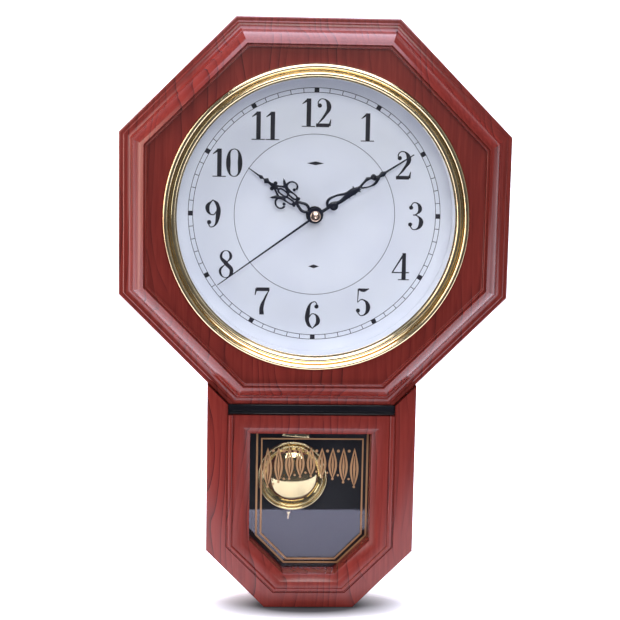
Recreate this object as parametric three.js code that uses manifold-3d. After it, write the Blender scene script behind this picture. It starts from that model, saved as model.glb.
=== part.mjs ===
// Octagonal pendulum wall clock, in millimetres, +Z up, front towards -Y.
// The wall is the plane y = 0. The origin is the point on that plane that the hanger hooks on.
// A "depth" is a distance in front of the wall. Heights are first counted from the dial centre.
import * as THREE from "three";
import { mergeVertices } from "three/addons/utils/BufferGeometryUtils.js";
import Module from "manifold-3d";

const wasm = await Module();
wasm.setup();

// ---------------------------------------------------------------- driving dimensions
const GAP = 0.3; // between pieces that touch
const ROUND = 48; // segments of the large round pieces
const FINE = 16; // segments of shafts and bosses
const COARSE = 8; // segments of screws and screw holes

// case
const HEAD_APOTHEM = 155; // half of the head's width across flats
const WALL = 3;
const EDGE_DEPTH = 48; // front of the head's outer edge
const EDGE_BAND = 4.4; // flat band along the outer edge
const EDGE_BEAD = 1.4; // height of the small bead inside that band
const COVE_WIDTH = 5.8;
const COVE_RISE = 7.3;
const SWELL_WIDTH = 9;
const SWELL_RISE = 13;
const PANEL_STEP = 4.5; // drop from the crest to the flat panel
const BACK_THICK = 3;
const POST_INSET = 15; // from the middle of a slanting side to the screw post inside it
const SLOT_MARGIN = 24; // from the drop's side to the way down from the head
const SLOT_DEPTH = 44;

const DROP_HALF = 84;
const DROP_LENGTH = 165.4; // below the head
const DROP_CHAMFER = 47.7;
const DROP_DEPTH = 53;
const DROP_POST_INSET = 17; // from the drop's side
const DROP_POST_RISE = 65.4; // above the drop's lower edge
const RAIL_SIDE = 34.9;
const RAIL_BOTTOM = 27;
const RAIL_TOP = 21.4; // from the head to the window
const WINDOW_CHAMFER = 28;
const WINDOW_BEVEL = 5.4; // the steep rim of the window
const WINDOW_BEVEL_DEPTH = 4;
const WINDOW_SLOPE = 13.3; // the gentle slope outside that rim
const WINDOW_SLOPE_DEPTH = 1.5;
const DROP_EDGE = 1.2; // rounding of the drop's front edge
const WIDE_GROOVE = [0.458, 0.493]; // across the rail: 0 is its outer edge, 1 is the window
const RAIL_BEAD = [0.505, 0.59];
const FINE_GROOVE = [0.596, 0.618];
const BEAD_HEIGHT = 0.8;
const GROOVE_DEPTH = 1.2;
const TUNNEL_WALL = 2.5;
const PANE_DEPTH = 29; // front of the window pane
const PANE_THICK = 2;
const PANE_LAP = 4;
const RETAINER_POST_OUT = 11.9; // from the window's side
const RETAINER_POST_LOW = 38.6; // below the window's top
const TRIM_INSET = 17; // from the drop's side
const TRIM_RISE = 2.7; // over the head's lower edge
const TRIM_HEIGHT = 7.7;
const TRIM_DEPTH = 49.5;
const TRIM_THICK = 5;

// dial side
const LENS_RADIUS = 113;
const LENS_THICK = 2;
const RING_OUTSIDE = 7.5; // ring beyond the lens
const RING_HOLD = 4; // lens under the ring
const RING_HEIGHT = 5;
const DIAL_DEPTH = 36.7; // front of the dial
const DIAL_THICK = 1.5;
const DIAL_LAP = 3; // dial beyond the reflector's bore
const DIAL_EAR_REACH = 10.5; // from the dial's edge to its screws
const HOUR_LENGTH = 65;
const MINUTE_CLEAR = 17; // from the minute hand's tip to the reflector
const SECOND_CLEAR = 14;
const HOUR_ANGLE = 304.8; // degrees clockwise from twelve
const MINUTE_ANGLE = 57.4;
const SECOND_ANGLE = 234;

// hand shafts, from the inside out
const SECOND_SHAFT = 0.5;
const MINUTE_PIPE_WALL = 0.8;
const HOUR_PIPE_WALL = 0.9;
const BUSH_WALL = 0.9;
const BUSH_TOP = 41;
const HOUR_HAND_DEPTH = 42;
const MINUTE_HAND_DEPTH = 45;
const SECOND_HAND_DEPTH = 48.2;
const HAND_THICK = 0.8;

// movement
const MOVE_REAR = 17.7;
const MOVE_WALL = 1.2;
const MOVE_SPLIT = 24.6;
const PLATE_HALF = 17;
const CELL_RADIUS = 7.25;
const CELL_LENGTH = 50.5;
const CELL_PLAY = 0.7; // to each contact
const CONTACT_THICK = 0.5;
const CONTACT_PLAY = 0.35; // to the wall behind it
const CELL_Z = 19.5;
const CELL_DEPTH = 26.3;
const FINE_MODULE = 0.2; // gear modules
const SECONDS_MODULE = 0.35;
const MOTION_MODULE = 0.4;
const TEETH = {
  rotor: 8, intermediate: 60, intermediatePinion: 8, seconds: 32, secondsPinion: 11,
  third: 66, thirdPinion: 7, centre: 70, cannon: 10, motion: 30, motionPinion: 8, hour: 32,
};

// pendulum
const PENDULUM_REST = 4.3; // degrees, bob towards the viewer's left
const BOB_RAISE = 16.2; // bob centre above the middle of the window
const BOB_RADIUS = 29;
const LEVER_DEPTH = 17;
const LEVER_THICK = 1.6;
const HOOK_DISTANCE = 30;
const MAGNET_DISTANCE = 14;
const MAGNET_RADIUS = 4;
const GRID_DEPTH = 15.1;
const GRID_THICK = 1;
const GRID_PITCH = 9.8;
const ROD_WIDTH = 1.6;
const DRIVE_HALF = 20;
const DRIVE_HEIGHT = 35;
const DRIVE_BELOW = 3; // from the movement to the drive
const DRIVE_REAR = 12;
const PIVOT_BELOW = 12; // from the movement to the pendulum's pivot

// hanger
const HANGER_INSET = 27; // from the head's upper edge to the hooking point
const HANGER_DROP = 10; // keyhole: from the hooking point down to the round entry
const SCREW_RADIUS = 1.3;
const SCREW_HEAD = 3;

// ---------------------------------------------------------------- places that follow from them
const DROP_BOTTOM = -HEAD_APOTHEM - DROP_LENGTH;
const DROP_TOP = -HEAD_APOTHEM + DROP_HALF - HEAD_APOTHEM * Math.tan(Math.PI / 8) + WALL;
const SLOT_HALF = DROP_HALF - SLOT_MARGIN; // half width of the way from the head into the drop
const WINDOW_HALF = DROP_HALF - RAIL_SIDE;
const WINDOW_TOP = -HEAD_APOTHEM - RAIL_TOP;
const WINDOW_BOTTOM = DROP_BOTTOM + RAIL_BOTTOM;
const TRIM_HALF = DROP_HALF - TRIM_INSET;
const TRIM_TOP = -HEAD_APOTHEM + TRIM_RISE;
const TRIM_BOTTOM = TRIM_TOP - TRIM_HEIGHT;

const RING_OUTER = LENS_RADIUS + RING_OUTSIDE;
const RING_INNER = LENS_RADIUS - RING_HOLD;
const DIAL_RADIUS = RING_INNER + DIAL_LAP;
const DIAL_EAR_RADIUS = DIAL_RADIUS + DIAL_EAR_REACH;
const MINUTE_LENGTH = RING_INNER - MINUTE_CLEAR;
const SECOND_LENGTH = RING_INNER - SECOND_CLEAR;
const MINUTE_SHAFT = SECOND_SHAFT + GAP + MINUTE_PIPE_WALL;
const HOUR_SHAFT = MINUTE_SHAFT + GAP + HOUR_PIPE_WALL;
const BUSH_RADIUS = HOUR_SHAFT + GAP + BUSH_WALL;

const MOVE_HALF = CELL_LENGTH / 2 + CELL_PLAY + CONTACT_THICK + CONTACT_PLAY + MOVE_WALL;
const DRIVE_TOP = -MOVE_HALF - DRIVE_BELOW;
const DRIVE_BOTTOM = DRIVE_TOP - DRIVE_HEIGHT;
const PIVOT_Z = -MOVE_HALF - PIVOT_BELOW;
const BOB_DISTANCE = PIVOT_Z - (WINDOW_TOP + WINDOW_BOTTOM) / 2 - BOB_RAISE; // pivot to bob centre
const HANGER_Z = HEAD_APOTHEM - HANGER_INSET; // the hooking point, above the dial centre

// ---------------------------------------------------------------- materials
function finish(color, roughness, metalness, extra = {}) {
  return new THREE.MeshStandardMaterial({ color, roughness, metalness, ...extra });
}
const MATERIALS = {
  woodgrain: finish(0x7e3530, 0.3, 0),
  blackPlastic: finish(0x14141a, 0.35, 0),
  greyPlastic: finish(0x3a3b3f, 0.55, 0),
  gilt: finish(0xd9b15a, 0.18, 1),
  brass: finish(0xd2a84a, 0.22, 1),
  steel: finish(0xb8bbc0, 0.35, 1),
  magnet: finish(0x55575c, 0.4, 1),
  copper: finish(0xb8693c, 0.35, 1),
  dialWhite: finish(0xf2f3f7, 0.6, 0),
  reflectorWhite: finish(0xf4f4f6, 0.45, 0),
  clear: finish(0xdfe8ee, 0.05, 0, { transparent: true, opacity: 0.25 }),
  handBlack: finish(0x0c0d12, 0.4, 0.2),
  gearWhite: finish(0xe8e6de, 0.5, 0),
  gearAmber: finish(0xd9a44c, 0.5, 0),
  board: finish(0x1f5a3a, 0.5, 0),
  cell: finish(0x9fb4c8, 0.35, 0.6),
  rubber: finish(0x1c1c1c, 0.85, 0),
};

// ---------------------------------------------------------------- solids
// A closed three.js geometry as a solid that can be joined and cut.
function solid(geometry) {
  const bare = geometry.index ? geometry.toNonIndexed() : geometry.clone();
  bare.deleteAttribute("normal");
  bare.deleteAttribute("uv");
  const merged = mergeVertices(bare, 1e-4);
  return new wasm.Manifold(new wasm.Mesh({
    numProp: 3,
    vertProperties: new Float32Array(merged.attributes.position.array),
    triVerts: new Uint32Array(merged.index.array),
  }));
}

function vectors(points) {
  return points.map(([x, y]) => new THREE.Vector2(x, y));
}

function outline(points, ...holes) {
  const shape = new THREE.Shape(vectors(points));
  shape.holes = holes.map((hole) => new THREE.Path(vectors(hole)));
  return shape;
}

function circle(radius, segments = FINE, x = 0, z = 0, phase = 0) {
  return Array.from({ length: segments }, (_, i) => {
    const angle = phase + (i * 2 * Math.PI) / segments;
    return [x + radius * Math.cos(angle), z + radius * Math.sin(angle)];
  });
}

// An outline seen from the front, from one depth to another.
function prism(shape, near, far) {
  const geometry = new THREE.ExtrudeGeometry(shape, { depth: far - near, bevelEnabled: false });
  return solid(geometry.translate(0, 0, near).rotateX(Math.PI / 2));
}

function block(x0, x1, z0, z1, near, far) {
  const box = new THREE.BoxGeometry(x1 - x0, far - near, z1 - z0);
  return solid(box.translate((x0 + x1) / 2, -(near + far) / 2, (z0 + z1) / 2));
}

// A [radius, depth] profile turned about the line through (x, z) that points at the viewer.
function turned(profile, x = 0, z = 0, segments = FINE, phase = 0) {
  const points = vectors(profile);
  if (THREE.ShapeUtils.area(points) < 0) points.reverse();
  const closed = points[0].x > 0 || points[points.length - 1].x > 0;
  if (closed) points.push(points[0].clone());
  const geometry = new THREE.LatheGeometry(points, segments, phase);
  return solid(geometry.rotateX(Math.PI).translate(x, 0, z));
}

function rod(radius, near, far, x = 0, z = 0, segments = FINE) {
  return turned([[0, near], [radius, near], [radius, far], [0, far]], x, z, segments);
}

function tube(inner, outer, near, far, x = 0, z = 0, segments = FINE) {
  return turned([[inner, near], [outer, near], [outer, far], [inner, far]], x, z, segments);
}

function join(...solids) {
  return solids.reduce((a, b) => a.add(b));
}

function cut(body, ...tools) {
  return tools.reduce((a, b) => a.subtract(b), body);
}

const clock = new THREE.Group();
clock.name = "pendulum_wall_clock";
clock.position.z = -HANGER_Z;

function part(name, body, material, parent = clock) {
  const data = body.getMesh();
  const geometry = new THREE.BufferGeometry();
  geometry.setAttribute("position", new THREE.BufferAttribute(data.vertProperties, 3));
  geometry.setIndex(new THREE.BufferAttribute(data.triVerts, 1));
  geometry.computeVertexNormals();
  const mesh = new THREE.Mesh(geometry, material);
  mesh.name = name;
  parent.add(mesh);
}

// A screw whose head lies at `head` and whose shank runs to `tip`, both depths.
function screw(name, x, z, head, tip, headThick = 1.5) {
  const under = head + headThick;
  const profile = [
    [0, head], [SCREW_HEAD, head], [SCREW_HEAD, under], [SCREW_RADIUS, under], [SCREW_RADIUS, tip], [0, tip],
  ];
  part(name, turned(profile, x, z, COARSE), MATERIALS.steel);
}

function screwHole(x, z, near, far) {
  return rod(SCREW_RADIUS + GAP, near, far, x, z, COARSE);
}

// ---------------------------------------------------------------- outlines of the case
const OCTAGON = 1 / Math.cos(Math.PI / 8);
function octagon(apothem) {
  return circle(apothem * OCTAGON, 8, 0, 0, Math.PI / 8);
}

// The drop's outline: upright sides and a bottom with its corners cut off.
function dropOutline(half, top, bottom, chamfer) {
  return [
    [-half, top], [-half, bottom + chamfer], [-half + chamfer, bottom],
    [half - chamfer, bottom], [half, bottom + chamfer], [half, top],
  ];
}

const CHAMFER_CHANGE = 2 - Math.SQRT2; // for each mm that an outline moves in or out

function dropInset(inset, top) {
  const chamfer = DROP_CHAMFER - inset * CHAMFER_CHANGE;
  return dropOutline(DROP_HALF - inset, top, DROP_BOTTOM + inset, chamfer);
}

function windowOutset(outset) {
  const chamfer = WINDOW_CHAMFER + outset * CHAMFER_CHANGE;
  return dropOutline(WINDOW_HALF + outset, WINDOW_TOP + outset, WINDOW_BOTTOM - outset, chamfer);
}

// A line of the drop's frame: share 0 is the outer edge, 1 is the window.
function railLine(share, top) {
  const mix = (a, b) => a + (b - a) * share;
  return dropOutline(
    mix(DROP_HALF, WINDOW_HALF), top, mix(DROP_BOTTOM, WINDOW_BOTTOM), mix(DROP_CHAMFER, WINDOW_CHAMFER),
  );
}

// ---------------------------------------------------------------- head frame
const coveStart = HEAD_APOTHEM - EDGE_BAND - 0.8;
const coveDepth = EDGE_DEPTH + EDGE_BEAD;
const swellStart = coveStart - COVE_WIDTH;
const swellDepth = coveDepth + COVE_RISE;
const crestAt = swellStart - SWELL_WIDTH;
const CREST_DEPTH = swellDepth + SWELL_RISE;
const PANEL_DEPTH = CREST_DEPTH - PANEL_STEP;
const PANEL_REAR = PANEL_DEPTH - WALL;
const LENS_HOLE = LENS_RADIUS + GAP;

function arcPoints(steps, at) {
  return Array.from({ length: steps - 1 }, (_, i) => at(((i + 1) * Math.PI) / 2 / steps));
}

const headProfile = [
  [HEAD_APOTHEM, 0],
  [HEAD_APOTHEM, EDGE_DEPTH - 1.2],
  [HEAD_APOTHEM - 0.4, EDGE_DEPTH - 0.4],
  [HEAD_APOTHEM - 1.2, EDGE_DEPTH],
  [HEAD_APOTHEM - EDGE_BAND + 0.8, EDGE_DEPTH],
  [HEAD_APOTHEM - EDGE_BAND + 0.4, coveDepth],
  [coveStart, coveDepth],
  ...arcPoints(6, (t) => [coveStart - COVE_WIDTH * Math.sin(t), swellDepth - COVE_RISE * Math.cos(t)]),
  [swellStart, swellDepth],
  ...arcPoints(8, (t) => [crestAt + SWELL_WIDTH * Math.cos(t), swellDepth + SWELL_RISE * Math.sin(t)]),
  [crestAt, CREST_DEPTH],
  [crestAt - 0.7, CREST_DEPTH - 0.3],
  [crestAt - 1.1, CREST_DEPTH - 1.4],
  [crestAt - 1.7, CREST_DEPTH - 1.4],
  [crestAt - 2.1, CREST_DEPTH - 0.7],
  [crestAt - 2.8, CREST_DEPTH - 0.7],
  [crestAt - 3.2, PANEL_DEPTH],
  [LENS_HOLE - 8, PANEL_DEPTH],
  [LENS_HOLE - 8, PANEL_REAR],
  [crestAt - WALL, PANEL_REAR],
  [swellStart - WALL, swellDepth],
  [HEAD_APOTHEM - EDGE_BAND - WALL, EDGE_DEPTH - WALL / 2],
  [HEAD_APOTHEM - WALL, EDGE_DEPTH - WALL],
  [HEAD_APOTHEM - WALL, 0],
];
const POST_RADIUS = 4.5;
const HEAD_POST = (HEAD_APOTHEM - POST_INSET) / Math.SQRT2; // the posts' x and z
const headPosts = [[-1, 1], [1, 1], [-1, -1], [1, -1]].map(([sx, sz]) => [sx * HEAD_POST, sz * HEAD_POST]);
const DROP_POST = [DROP_HALF - DROP_POST_INSET, DROP_BOTTOM + DROP_POST_RISE];
const dropPosts = [-1, 1].map((side) => [side * DROP_POST[0], DROP_POST[1]]);
const caseScrews = [...headPosts, ...dropPosts];
const CASE_SCREW_TIP = 12;
const POST_REAR = BACK_THICK + GAP;

const dialEars = [45, 135, 225, 315].map((degrees) => {
  const angle = THREE.MathUtils.degToRad(degrees + 22.5);
  return [DIAL_EAR_RADIUS * Math.cos(angle), DIAL_EAR_RADIUS * Math.sin(angle)];
});
const DIAL_POST_RADIUS = 4;

function headFrame() {
  const scaled = headProfile.map(([apothem, depth]) => [apothem * OCTAGON, depth]);
  const shell = turned(scaled, 0, 0, 8, Math.PI / 8);
  const posts = headPosts.map(([x, z]) => rod(POST_RADIUS, POST_REAR, swellDepth, x, z, COARSE));
  const dialPosts = dialEars.map(([x, z]) =>
    rod(DIAL_POST_RADIUS, DIAL_DEPTH + GAP, PANEL_REAR + 1, x, z, COARSE));
  const holes = headPosts.map(([x, z]) => screwHole(x, z, POST_REAR - 1, CASE_SCREW_TIP + 1));
  const dialHoles = dialEars.map(([x, z]) => screwHole(x, z, DIAL_DEPTH - 1, DIAL_DEPTH + 9));
  const bore = rod(LENS_HOLE, PANEL_REAR - 1, CREST_DEPTH, 0, 0, ROUND);
  const wayDown = block(-SLOT_HALF, SLOT_HALF, -HEAD_APOTHEM - 1, -HEAD_APOTHEM + WALL + 0.5, -1, SLOT_DEPTH);
  const rebate = block(
    -TRIM_HALF - GAP, TRIM_HALF + GAP, -HEAD_APOTHEM - 1, TRIM_TOP + GAP,
    TRIM_DEPTH - TRIM_THICK - GAP, EDGE_DEPTH + 5,
  );
  return cut(join(shell, ...posts, ...dialPosts), ...holes, ...dialHoles, bore, wayDown, rebate);
}
part("head_frame", headFrame(), MATERIALS.woodgrain);

// ---------------------------------------------------------------- drop frame
const RETAINER_POST = [WINDOW_HALF + RETAINER_POST_OUT, WINDOW_TOP - RETAINER_POST_LOW];
const retainerPosts = [-1, 1].map((side) => [side * RETAINER_POST[0], RETAINER_POST[1]]);
const PANE_REAR = PANE_DEPTH - PANE_THICK;
const RETAINER_FRONT = PANE_REAR - GAP;
const RETAINER_THICK = 1.5;

// A band along the rail between two shares of its width; it ends above the trim bar's rebate.
function railBand([from, to], near, far) {
  const top = TRIM_BOTTOM + 2;
  return prism(outline(railLine(from, top + 1), railLine(to, top)), near, far);
}

// A cutter that is the window at `deep` behind `level` and `width` larger all round at `level`.
function flare(width, deep, level) {
  const geometry = new THREE.ExtrudeGeometry(outline(windowOutset(0)), {
    depth: DROP_EDGE * 2, bevelEnabled: true, bevelThickness: deep, bevelSize: width, bevelSegments: 1,
  });
  return solid(geometry.translate(0, 0, level).rotateX(Math.PI / 2));
}

// An outline whose front edge is rounded.
function softPrism(shape, near, far, edge) {
  const front = new THREE.ExtrudeGeometry(shape, {
    depth: edge, bevelEnabled: true, bevelThickness: edge, bevelSize: edge, bevelOffset: -edge,
    bevelSegments: 3,
  });
  front.translate(0, 0, far - edge * 2).rotateX(Math.PI / 2);
  return join(prism(shape, near, far - edge * 1.5), solid(front));
}

function dropFrame() {
  const body = softPrism(outline(dropInset(0, DROP_TOP)), 0, DROP_DEPTH, DROP_EDGE);
  const cavity = prism(outline(dropInset(WALL, DROP_TOP + 1)), -1, DROP_DEPTH - WALL - 1);
  const tunnel = prism(outline(windowOutset(TUNNEL_WALL)), PANE_DEPTH + GAP, DROP_DEPTH - WALL);
  const posts = dropPosts.map(([x, z]) => rod(POST_RADIUS, POST_REAR, DROP_DEPTH - WALL, x, z, COARSE));
  const clips = retainerPosts.map(([x, z]) =>
    rod(DIAL_POST_RADIUS, PANE_DEPTH, DROP_DEPTH - WALL, x, z, COARSE));
  const window = prism(outline(windowOutset(0)), PANE_DEPTH - 1, DROP_DEPTH + 1);
  const slope = flare(WINDOW_SLOPE, WINDOW_SLOPE_DEPTH, DROP_DEPTH);
  const rim = flare(
    WINDOW_BEVEL, WINDOW_BEVEL_DEPTH, DROP_DEPTH - WINDOW_SLOPE_DEPTH * (1 - WINDOW_BEVEL / WINDOW_SLOPE),
  );
  const grooves = [
    railBand(WIDE_GROOVE, DROP_DEPTH - GROOVE_DEPTH, DROP_DEPTH + 1),
    railBand(FINE_GROOVE, DROP_DEPTH - GROOVE_DEPTH / 2, DROP_DEPTH + 2),
  ];
  const bead = railBand(RAIL_BEAD, DROP_DEPTH - 1, DROP_DEPTH + BEAD_HEIGHT);
  const holes = dropPosts.map(([x, z]) => screwHole(x, z, POST_REAR - 1, CASE_SCREW_TIP + 1));
  const clipHoles = retainerPosts.map(([x, z]) => screwHole(x, z, PANE_DEPTH - 1, PANE_DEPTH + 8));
  const headSpace = prism(outline(octagon(HEAD_APOTHEM + GAP)), -1, DROP_DEPTH + 1);
  const rebate = block(
    -TRIM_HALF - GAP, TRIM_HALF + GAP, TRIM_BOTTOM - GAP, TRIM_TOP + 5,
    TRIM_DEPTH - TRIM_THICK - GAP, DROP_DEPTH + 3,
  );
  return cut(
    join(cut(body, cavity), tunnel, bead, ...posts, ...clips),
    window, slope, rim, ...grooves, ...holes, ...clipHoles, headSpace, rebate,
  );
}
part("drop_frame", dropFrame(), MATERIALS.woodgrain);

// ---------------------------------------------------------------- trim bar
function trimBar() {
  const rear = TRIM_DEPTH - TRIM_THICK;
  const bar = outline([
    [-TRIM_HALF + 2, TRIM_TOP], [-TRIM_HALF, TRIM_BOTTOM],
    [TRIM_HALF, TRIM_BOTTOM], [TRIM_HALF - 2, TRIM_TOP],
  ]);
  const lip = block(-TRIM_HALF + 1, TRIM_HALF - 1, TRIM_BOTTOM, TRIM_BOTTOM + 1, rear, TRIM_DEPTH + 0.8);
  return join(prism(bar, rear, TRIM_DEPTH), lip);
}
part("trim_bar", trimBar(), MATERIALS.blackPlastic);

// ---------------------------------------------------------------- back cover and hanger
const BAY_HALF = MOVE_HALF + 3;
const COLLAR_DEPTH = DRIVE_REAR - 2.5;
const COLLAR_WALL = 1.5;
const KEY_ENTRY = 4.5;
const KEY_SLOT = 2.2;
const HANGER_SCREW_X = 11;

function keyhole(entry, slot, near, far) {
  const low = HANGER_Z - HANGER_DROP;
  const throat = block(-slot, slot, low, HANGER_Z - slot, near, far);
  return join(rod(entry, near, far, 0, low), rod(slot, near, far, 0, HANGER_Z - slot), throat);
}

function backCover() {
  const inset = WALL + GAP;
  const head = prism(outline(octagon(HEAD_APOTHEM - inset)), 0, BACK_THICK);
  const drop = cut(
    prism(outline(dropInset(inset, DROP_TOP)), 0, BACK_THICK),
    prism(outline(octagon(HEAD_APOTHEM + GAP)), -1, BACK_THICK + 1),
  );
  const neck = block(-SLOT_HALF + GAP, SLOT_HALF - GAP, -HEAD_APOTHEM - 5, -HEAD_APOTHEM + 5, 0, BACK_THICK);
  const reach = BAY_HALF + COLLAR_WALL;
  const collar = block(-reach, reach, -reach, reach, 0, COLLAR_DEPTH);
  const bay = block(-BAY_HALF, BAY_HALF, -BAY_HALF, BAY_HALF, -1, COLLAR_DEPTH + 1);
  const sinks = caseScrews.map(([x, z]) =>
    turned([[0, -1], [SCREW_HEAD + GAP, -1], [SCREW_HEAD + GAP, 1.9], [SCREW_RADIUS + GAP, 1.9],
      [SCREW_RADIUS + GAP, 4], [0, 4]], x, z, COARSE));
  const pilots = [-1, 1].map((side) => screwHole(side * HANGER_SCREW_X, HANGER_Z - 5, 1, BACK_THICK + 1));
  const key = keyhole(KEY_ENTRY + 1, KEY_SLOT + 2, -1, BACK_THICK + 1);
  return cut(join(head, drop, neck, collar), bay, ...sinks, ...pilots, key);
}
part("back_cover", backCover(), MATERIALS.blackPlastic);

function hangerPlate() {
  const near = BACK_THICK + GAP;
  const plate = block(-16, 16, HANGER_Z - HANGER_DROP - 8, HANGER_Z + 6, near, near + 1.2);
  const holes = [-1, 1].map((side) => screwHole(side * HANGER_SCREW_X, HANGER_Z - 5, near - 1, near + 2));
  return cut(plate, keyhole(KEY_ENTRY, KEY_SLOT, near - 1, near + 2), ...holes);
}
part("hanger_plate", hangerPlate(), MATERIALS.steel);

// A screw that is driven towards the wall: its head is in front.
function frontScrew(name, x, z, seat, tip) {
  const profile = [
    [0, tip], [SCREW_RADIUS, tip], [SCREW_RADIUS, seat], [SCREW_HEAD, seat],
    [SCREW_HEAD, seat + 1.4], [0, seat + 1.4],
  ];
  part(name, turned(profile, x, z, COARSE), MATERIALS.steel);
}
frontScrew("hanger_screw_left", -HANGER_SCREW_X, HANGER_Z - 5, BACK_THICK + GAP * 2 + 1.2, 1.4);
frontScrew("hanger_screw_right", HANGER_SCREW_X, HANGER_Z - 5, BACK_THICK + GAP * 2 + 1.2, 1.4);

["head_top_left", "head_top_right", "head_low_left", "head_low_right", "drop_left", "drop_right"].forEach(
  (place, i) => screw("case_screw_" + place, ...caseScrews[i], 0.1, CASE_SCREW_TIP),
);

// ---------------------------------------------------------------- bezel, lens, reflector, dial
const LENS_REAR = PANEL_REAR;
const LENS_FRONT = LENS_REAR + LENS_THICK;
const REFLECTOR_FLANGE = 2.4;

function bezelRing() {
  const seat = PANEL_DEPTH + GAP;
  const lip = LENS_FRONT + GAP;
  const width = RING_OUTER - RING_INNER;
  const rollWidth = width * 0.42;
  const outerMid = RING_OUTER - rollWidth / 2;
  const innerMid = RING_INNER + 1 + rollWidth / 2;
  const roll = (middle, low, high, steps) => Array.from({ length: steps + 1 }, (_, i) => {
    const t = (i * Math.PI) / steps;
    return [middle + (rollWidth / 2) * Math.cos(t), low + (high - low) * Math.sin(t)];
  });
  return turned([
    [RING_OUTER, seat],
    ...roll(outerMid, seat + 1, seat + RING_HEIGHT, 5),
    ...roll(innerMid, seat + 0.8, seat + RING_HEIGHT - 1.8, 4),
    [RING_INNER, seat],
    [RING_INNER, lip],
    [LENS_HOLE, lip],
    [LENS_HOLE, seat],
  ], 0, 0, ROUND);
}
part("bezel_ring", bezelRing(), MATERIALS.gilt);
part("dial_lens", rod(LENS_RADIUS, LENS_REAR, LENS_FRONT, 0, 0, ROUND), MATERIALS.clear);

function reflectorRing() {
  const top = LENS_REAR - GAP;
  const wall = 1.5;
  const flangeOuter = DIAL_EAR_RADIUS - DIAL_POST_RADIUS - 1;
  return turned([
    [RING_INNER, DIAL_DEPTH + GAP], [RING_INNER + wall, DIAL_DEPTH + GAP],
    [RING_INNER + wall, top - REFLECTOR_FLANGE], [flangeOuter, top - REFLECTOR_FLANGE],
    [flangeOuter, top], [RING_INNER, top],
  ], 0, 0, ROUND);
}
part("reflector_ring", reflectorRing(), MATERIALS.reflectorWhite);

const DIAL_REAR = DIAL_DEPTH - DIAL_THICK;
function dialPlate() {
  const disc = rod(DIAL_RADIUS, DIAL_REAR, DIAL_DEPTH, 0, 0, ROUND);
  const ears = dialEars.map(([x, z]) => {
    const reach = Math.hypot(x, z) + 5;
    const ear = new THREE.BoxGeometry(10, DIAL_THICK, reach - DIAL_RADIUS + 6);
    ear.translate(0, -(DIAL_REAR + DIAL_DEPTH) / 2, (reach + DIAL_RADIUS - 6) / 2);
    return solid(ear.rotateY(Math.atan2(x, z)));
  });
  const holes = dialEars.map(([x, z]) => screwHole(x, z, DIAL_REAR - 1, DIAL_DEPTH + 1));
  const centre = rod(BUSH_RADIUS + GAP, DIAL_REAR - 1, DIAL_DEPTH + 1);
  return cut(join(disc, ...ears), ...holes, centre);
}
part("dial_plate", dialPlate(), MATERIALS.dialWhite);
["upper_right", "upper_left", "lower_left", "lower_right"].forEach((place, i) =>
  screw("dial_screw_" + place, ...dialEars[i], DIAL_REAR - GAP - 1.5, DIAL_DEPTH + 8));

// ---------------------------------------------------------------- window pane and retainer
part("window_glass", prism(outline(windowOutset(PANE_LAP)), PANE_REAR, PANE_DEPTH), MATERIALS.clear);

function glassRetainer() {
  const rear = RETAINER_FRONT - RETAINER_THICK;
  const frame = prism(outline(windowOutset(PANE_LAP + 1)), rear, RETAINER_FRONT);
  const [x, z] = RETAINER_POST;
  const ears = block(-x - 5, x + 5, z - 5, z + 5, rear, RETAINER_FRONT);
  const light = prism(outline(windowOutset(0.5)), rear - 1, RETAINER_FRONT + 1);
  const holes = retainerPosts.map(([hx, hz]) => screwHole(hx, hz, rear - 1, RETAINER_FRONT + 1));
  return cut(join(frame, ears), light, ...holes);
}
part("glass_retainer", glassRetainer(), MATERIALS.blackPlastic);
["left", "right"].forEach((place, i) =>
  screw("retainer_screw_" + place, ...retainerPosts[i],
    RETAINER_FRONT - RETAINER_THICK - GAP - 1.5, PANE_DEPTH + 7));

// ---------------------------------------------------------------- movement: case, cover, plate
const MOVE_FRONT = DIAL_REAR - GAP;
const INNER_HALF = MOVE_HALF - MOVE_WALL;
const DIVIDER = CELL_Z - CELL_RADIUS - 0.7; // upper face of the wall under the cell
const EAR_SCREW = [17, -MOVE_HALF + 4.5];

// Arbor places, from the centre distances of the gears.
const spread = (a, b, module) => ((a + b) * module) / 2;
const polar = (distance, degrees, [x, z] = [0, 0]) => {
  const angle = THREE.MathUtils.degToRad(degrees);
  return [x + distance * Math.cos(angle), z + distance * Math.sin(angle)];
};
const THIRD_AT = -80;
const INTERMEDIATE_AT = 0;
const MOTION_AT = 180;
const ROTOR_AT = -40;
const centreArbor = [0, 0];
const thirdArbor = polar(spread(TEETH.secondsPinion, TEETH.third, FINE_MODULE), THIRD_AT);
const intermediateArbor = polar(
  spread(TEETH.intermediatePinion, TEETH.seconds, SECONDS_MODULE), INTERMEDIATE_AT);
const rotorArbor = polar(spread(TEETH.rotor, TEETH.intermediate, FINE_MODULE), ROTOR_AT, intermediateArbor);
const motionArbor = polar(spread(TEETH.cannon, TEETH.motion, MOTION_MODULE), MOTION_AT);

const ARBOR = 0.5;
const THIN_ARBOR = 0.35;
const KNOB_ARBOR = 0.7;
const ARBOR_REAR = MOVE_REAR + MOVE_WALL + GAP;

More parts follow.
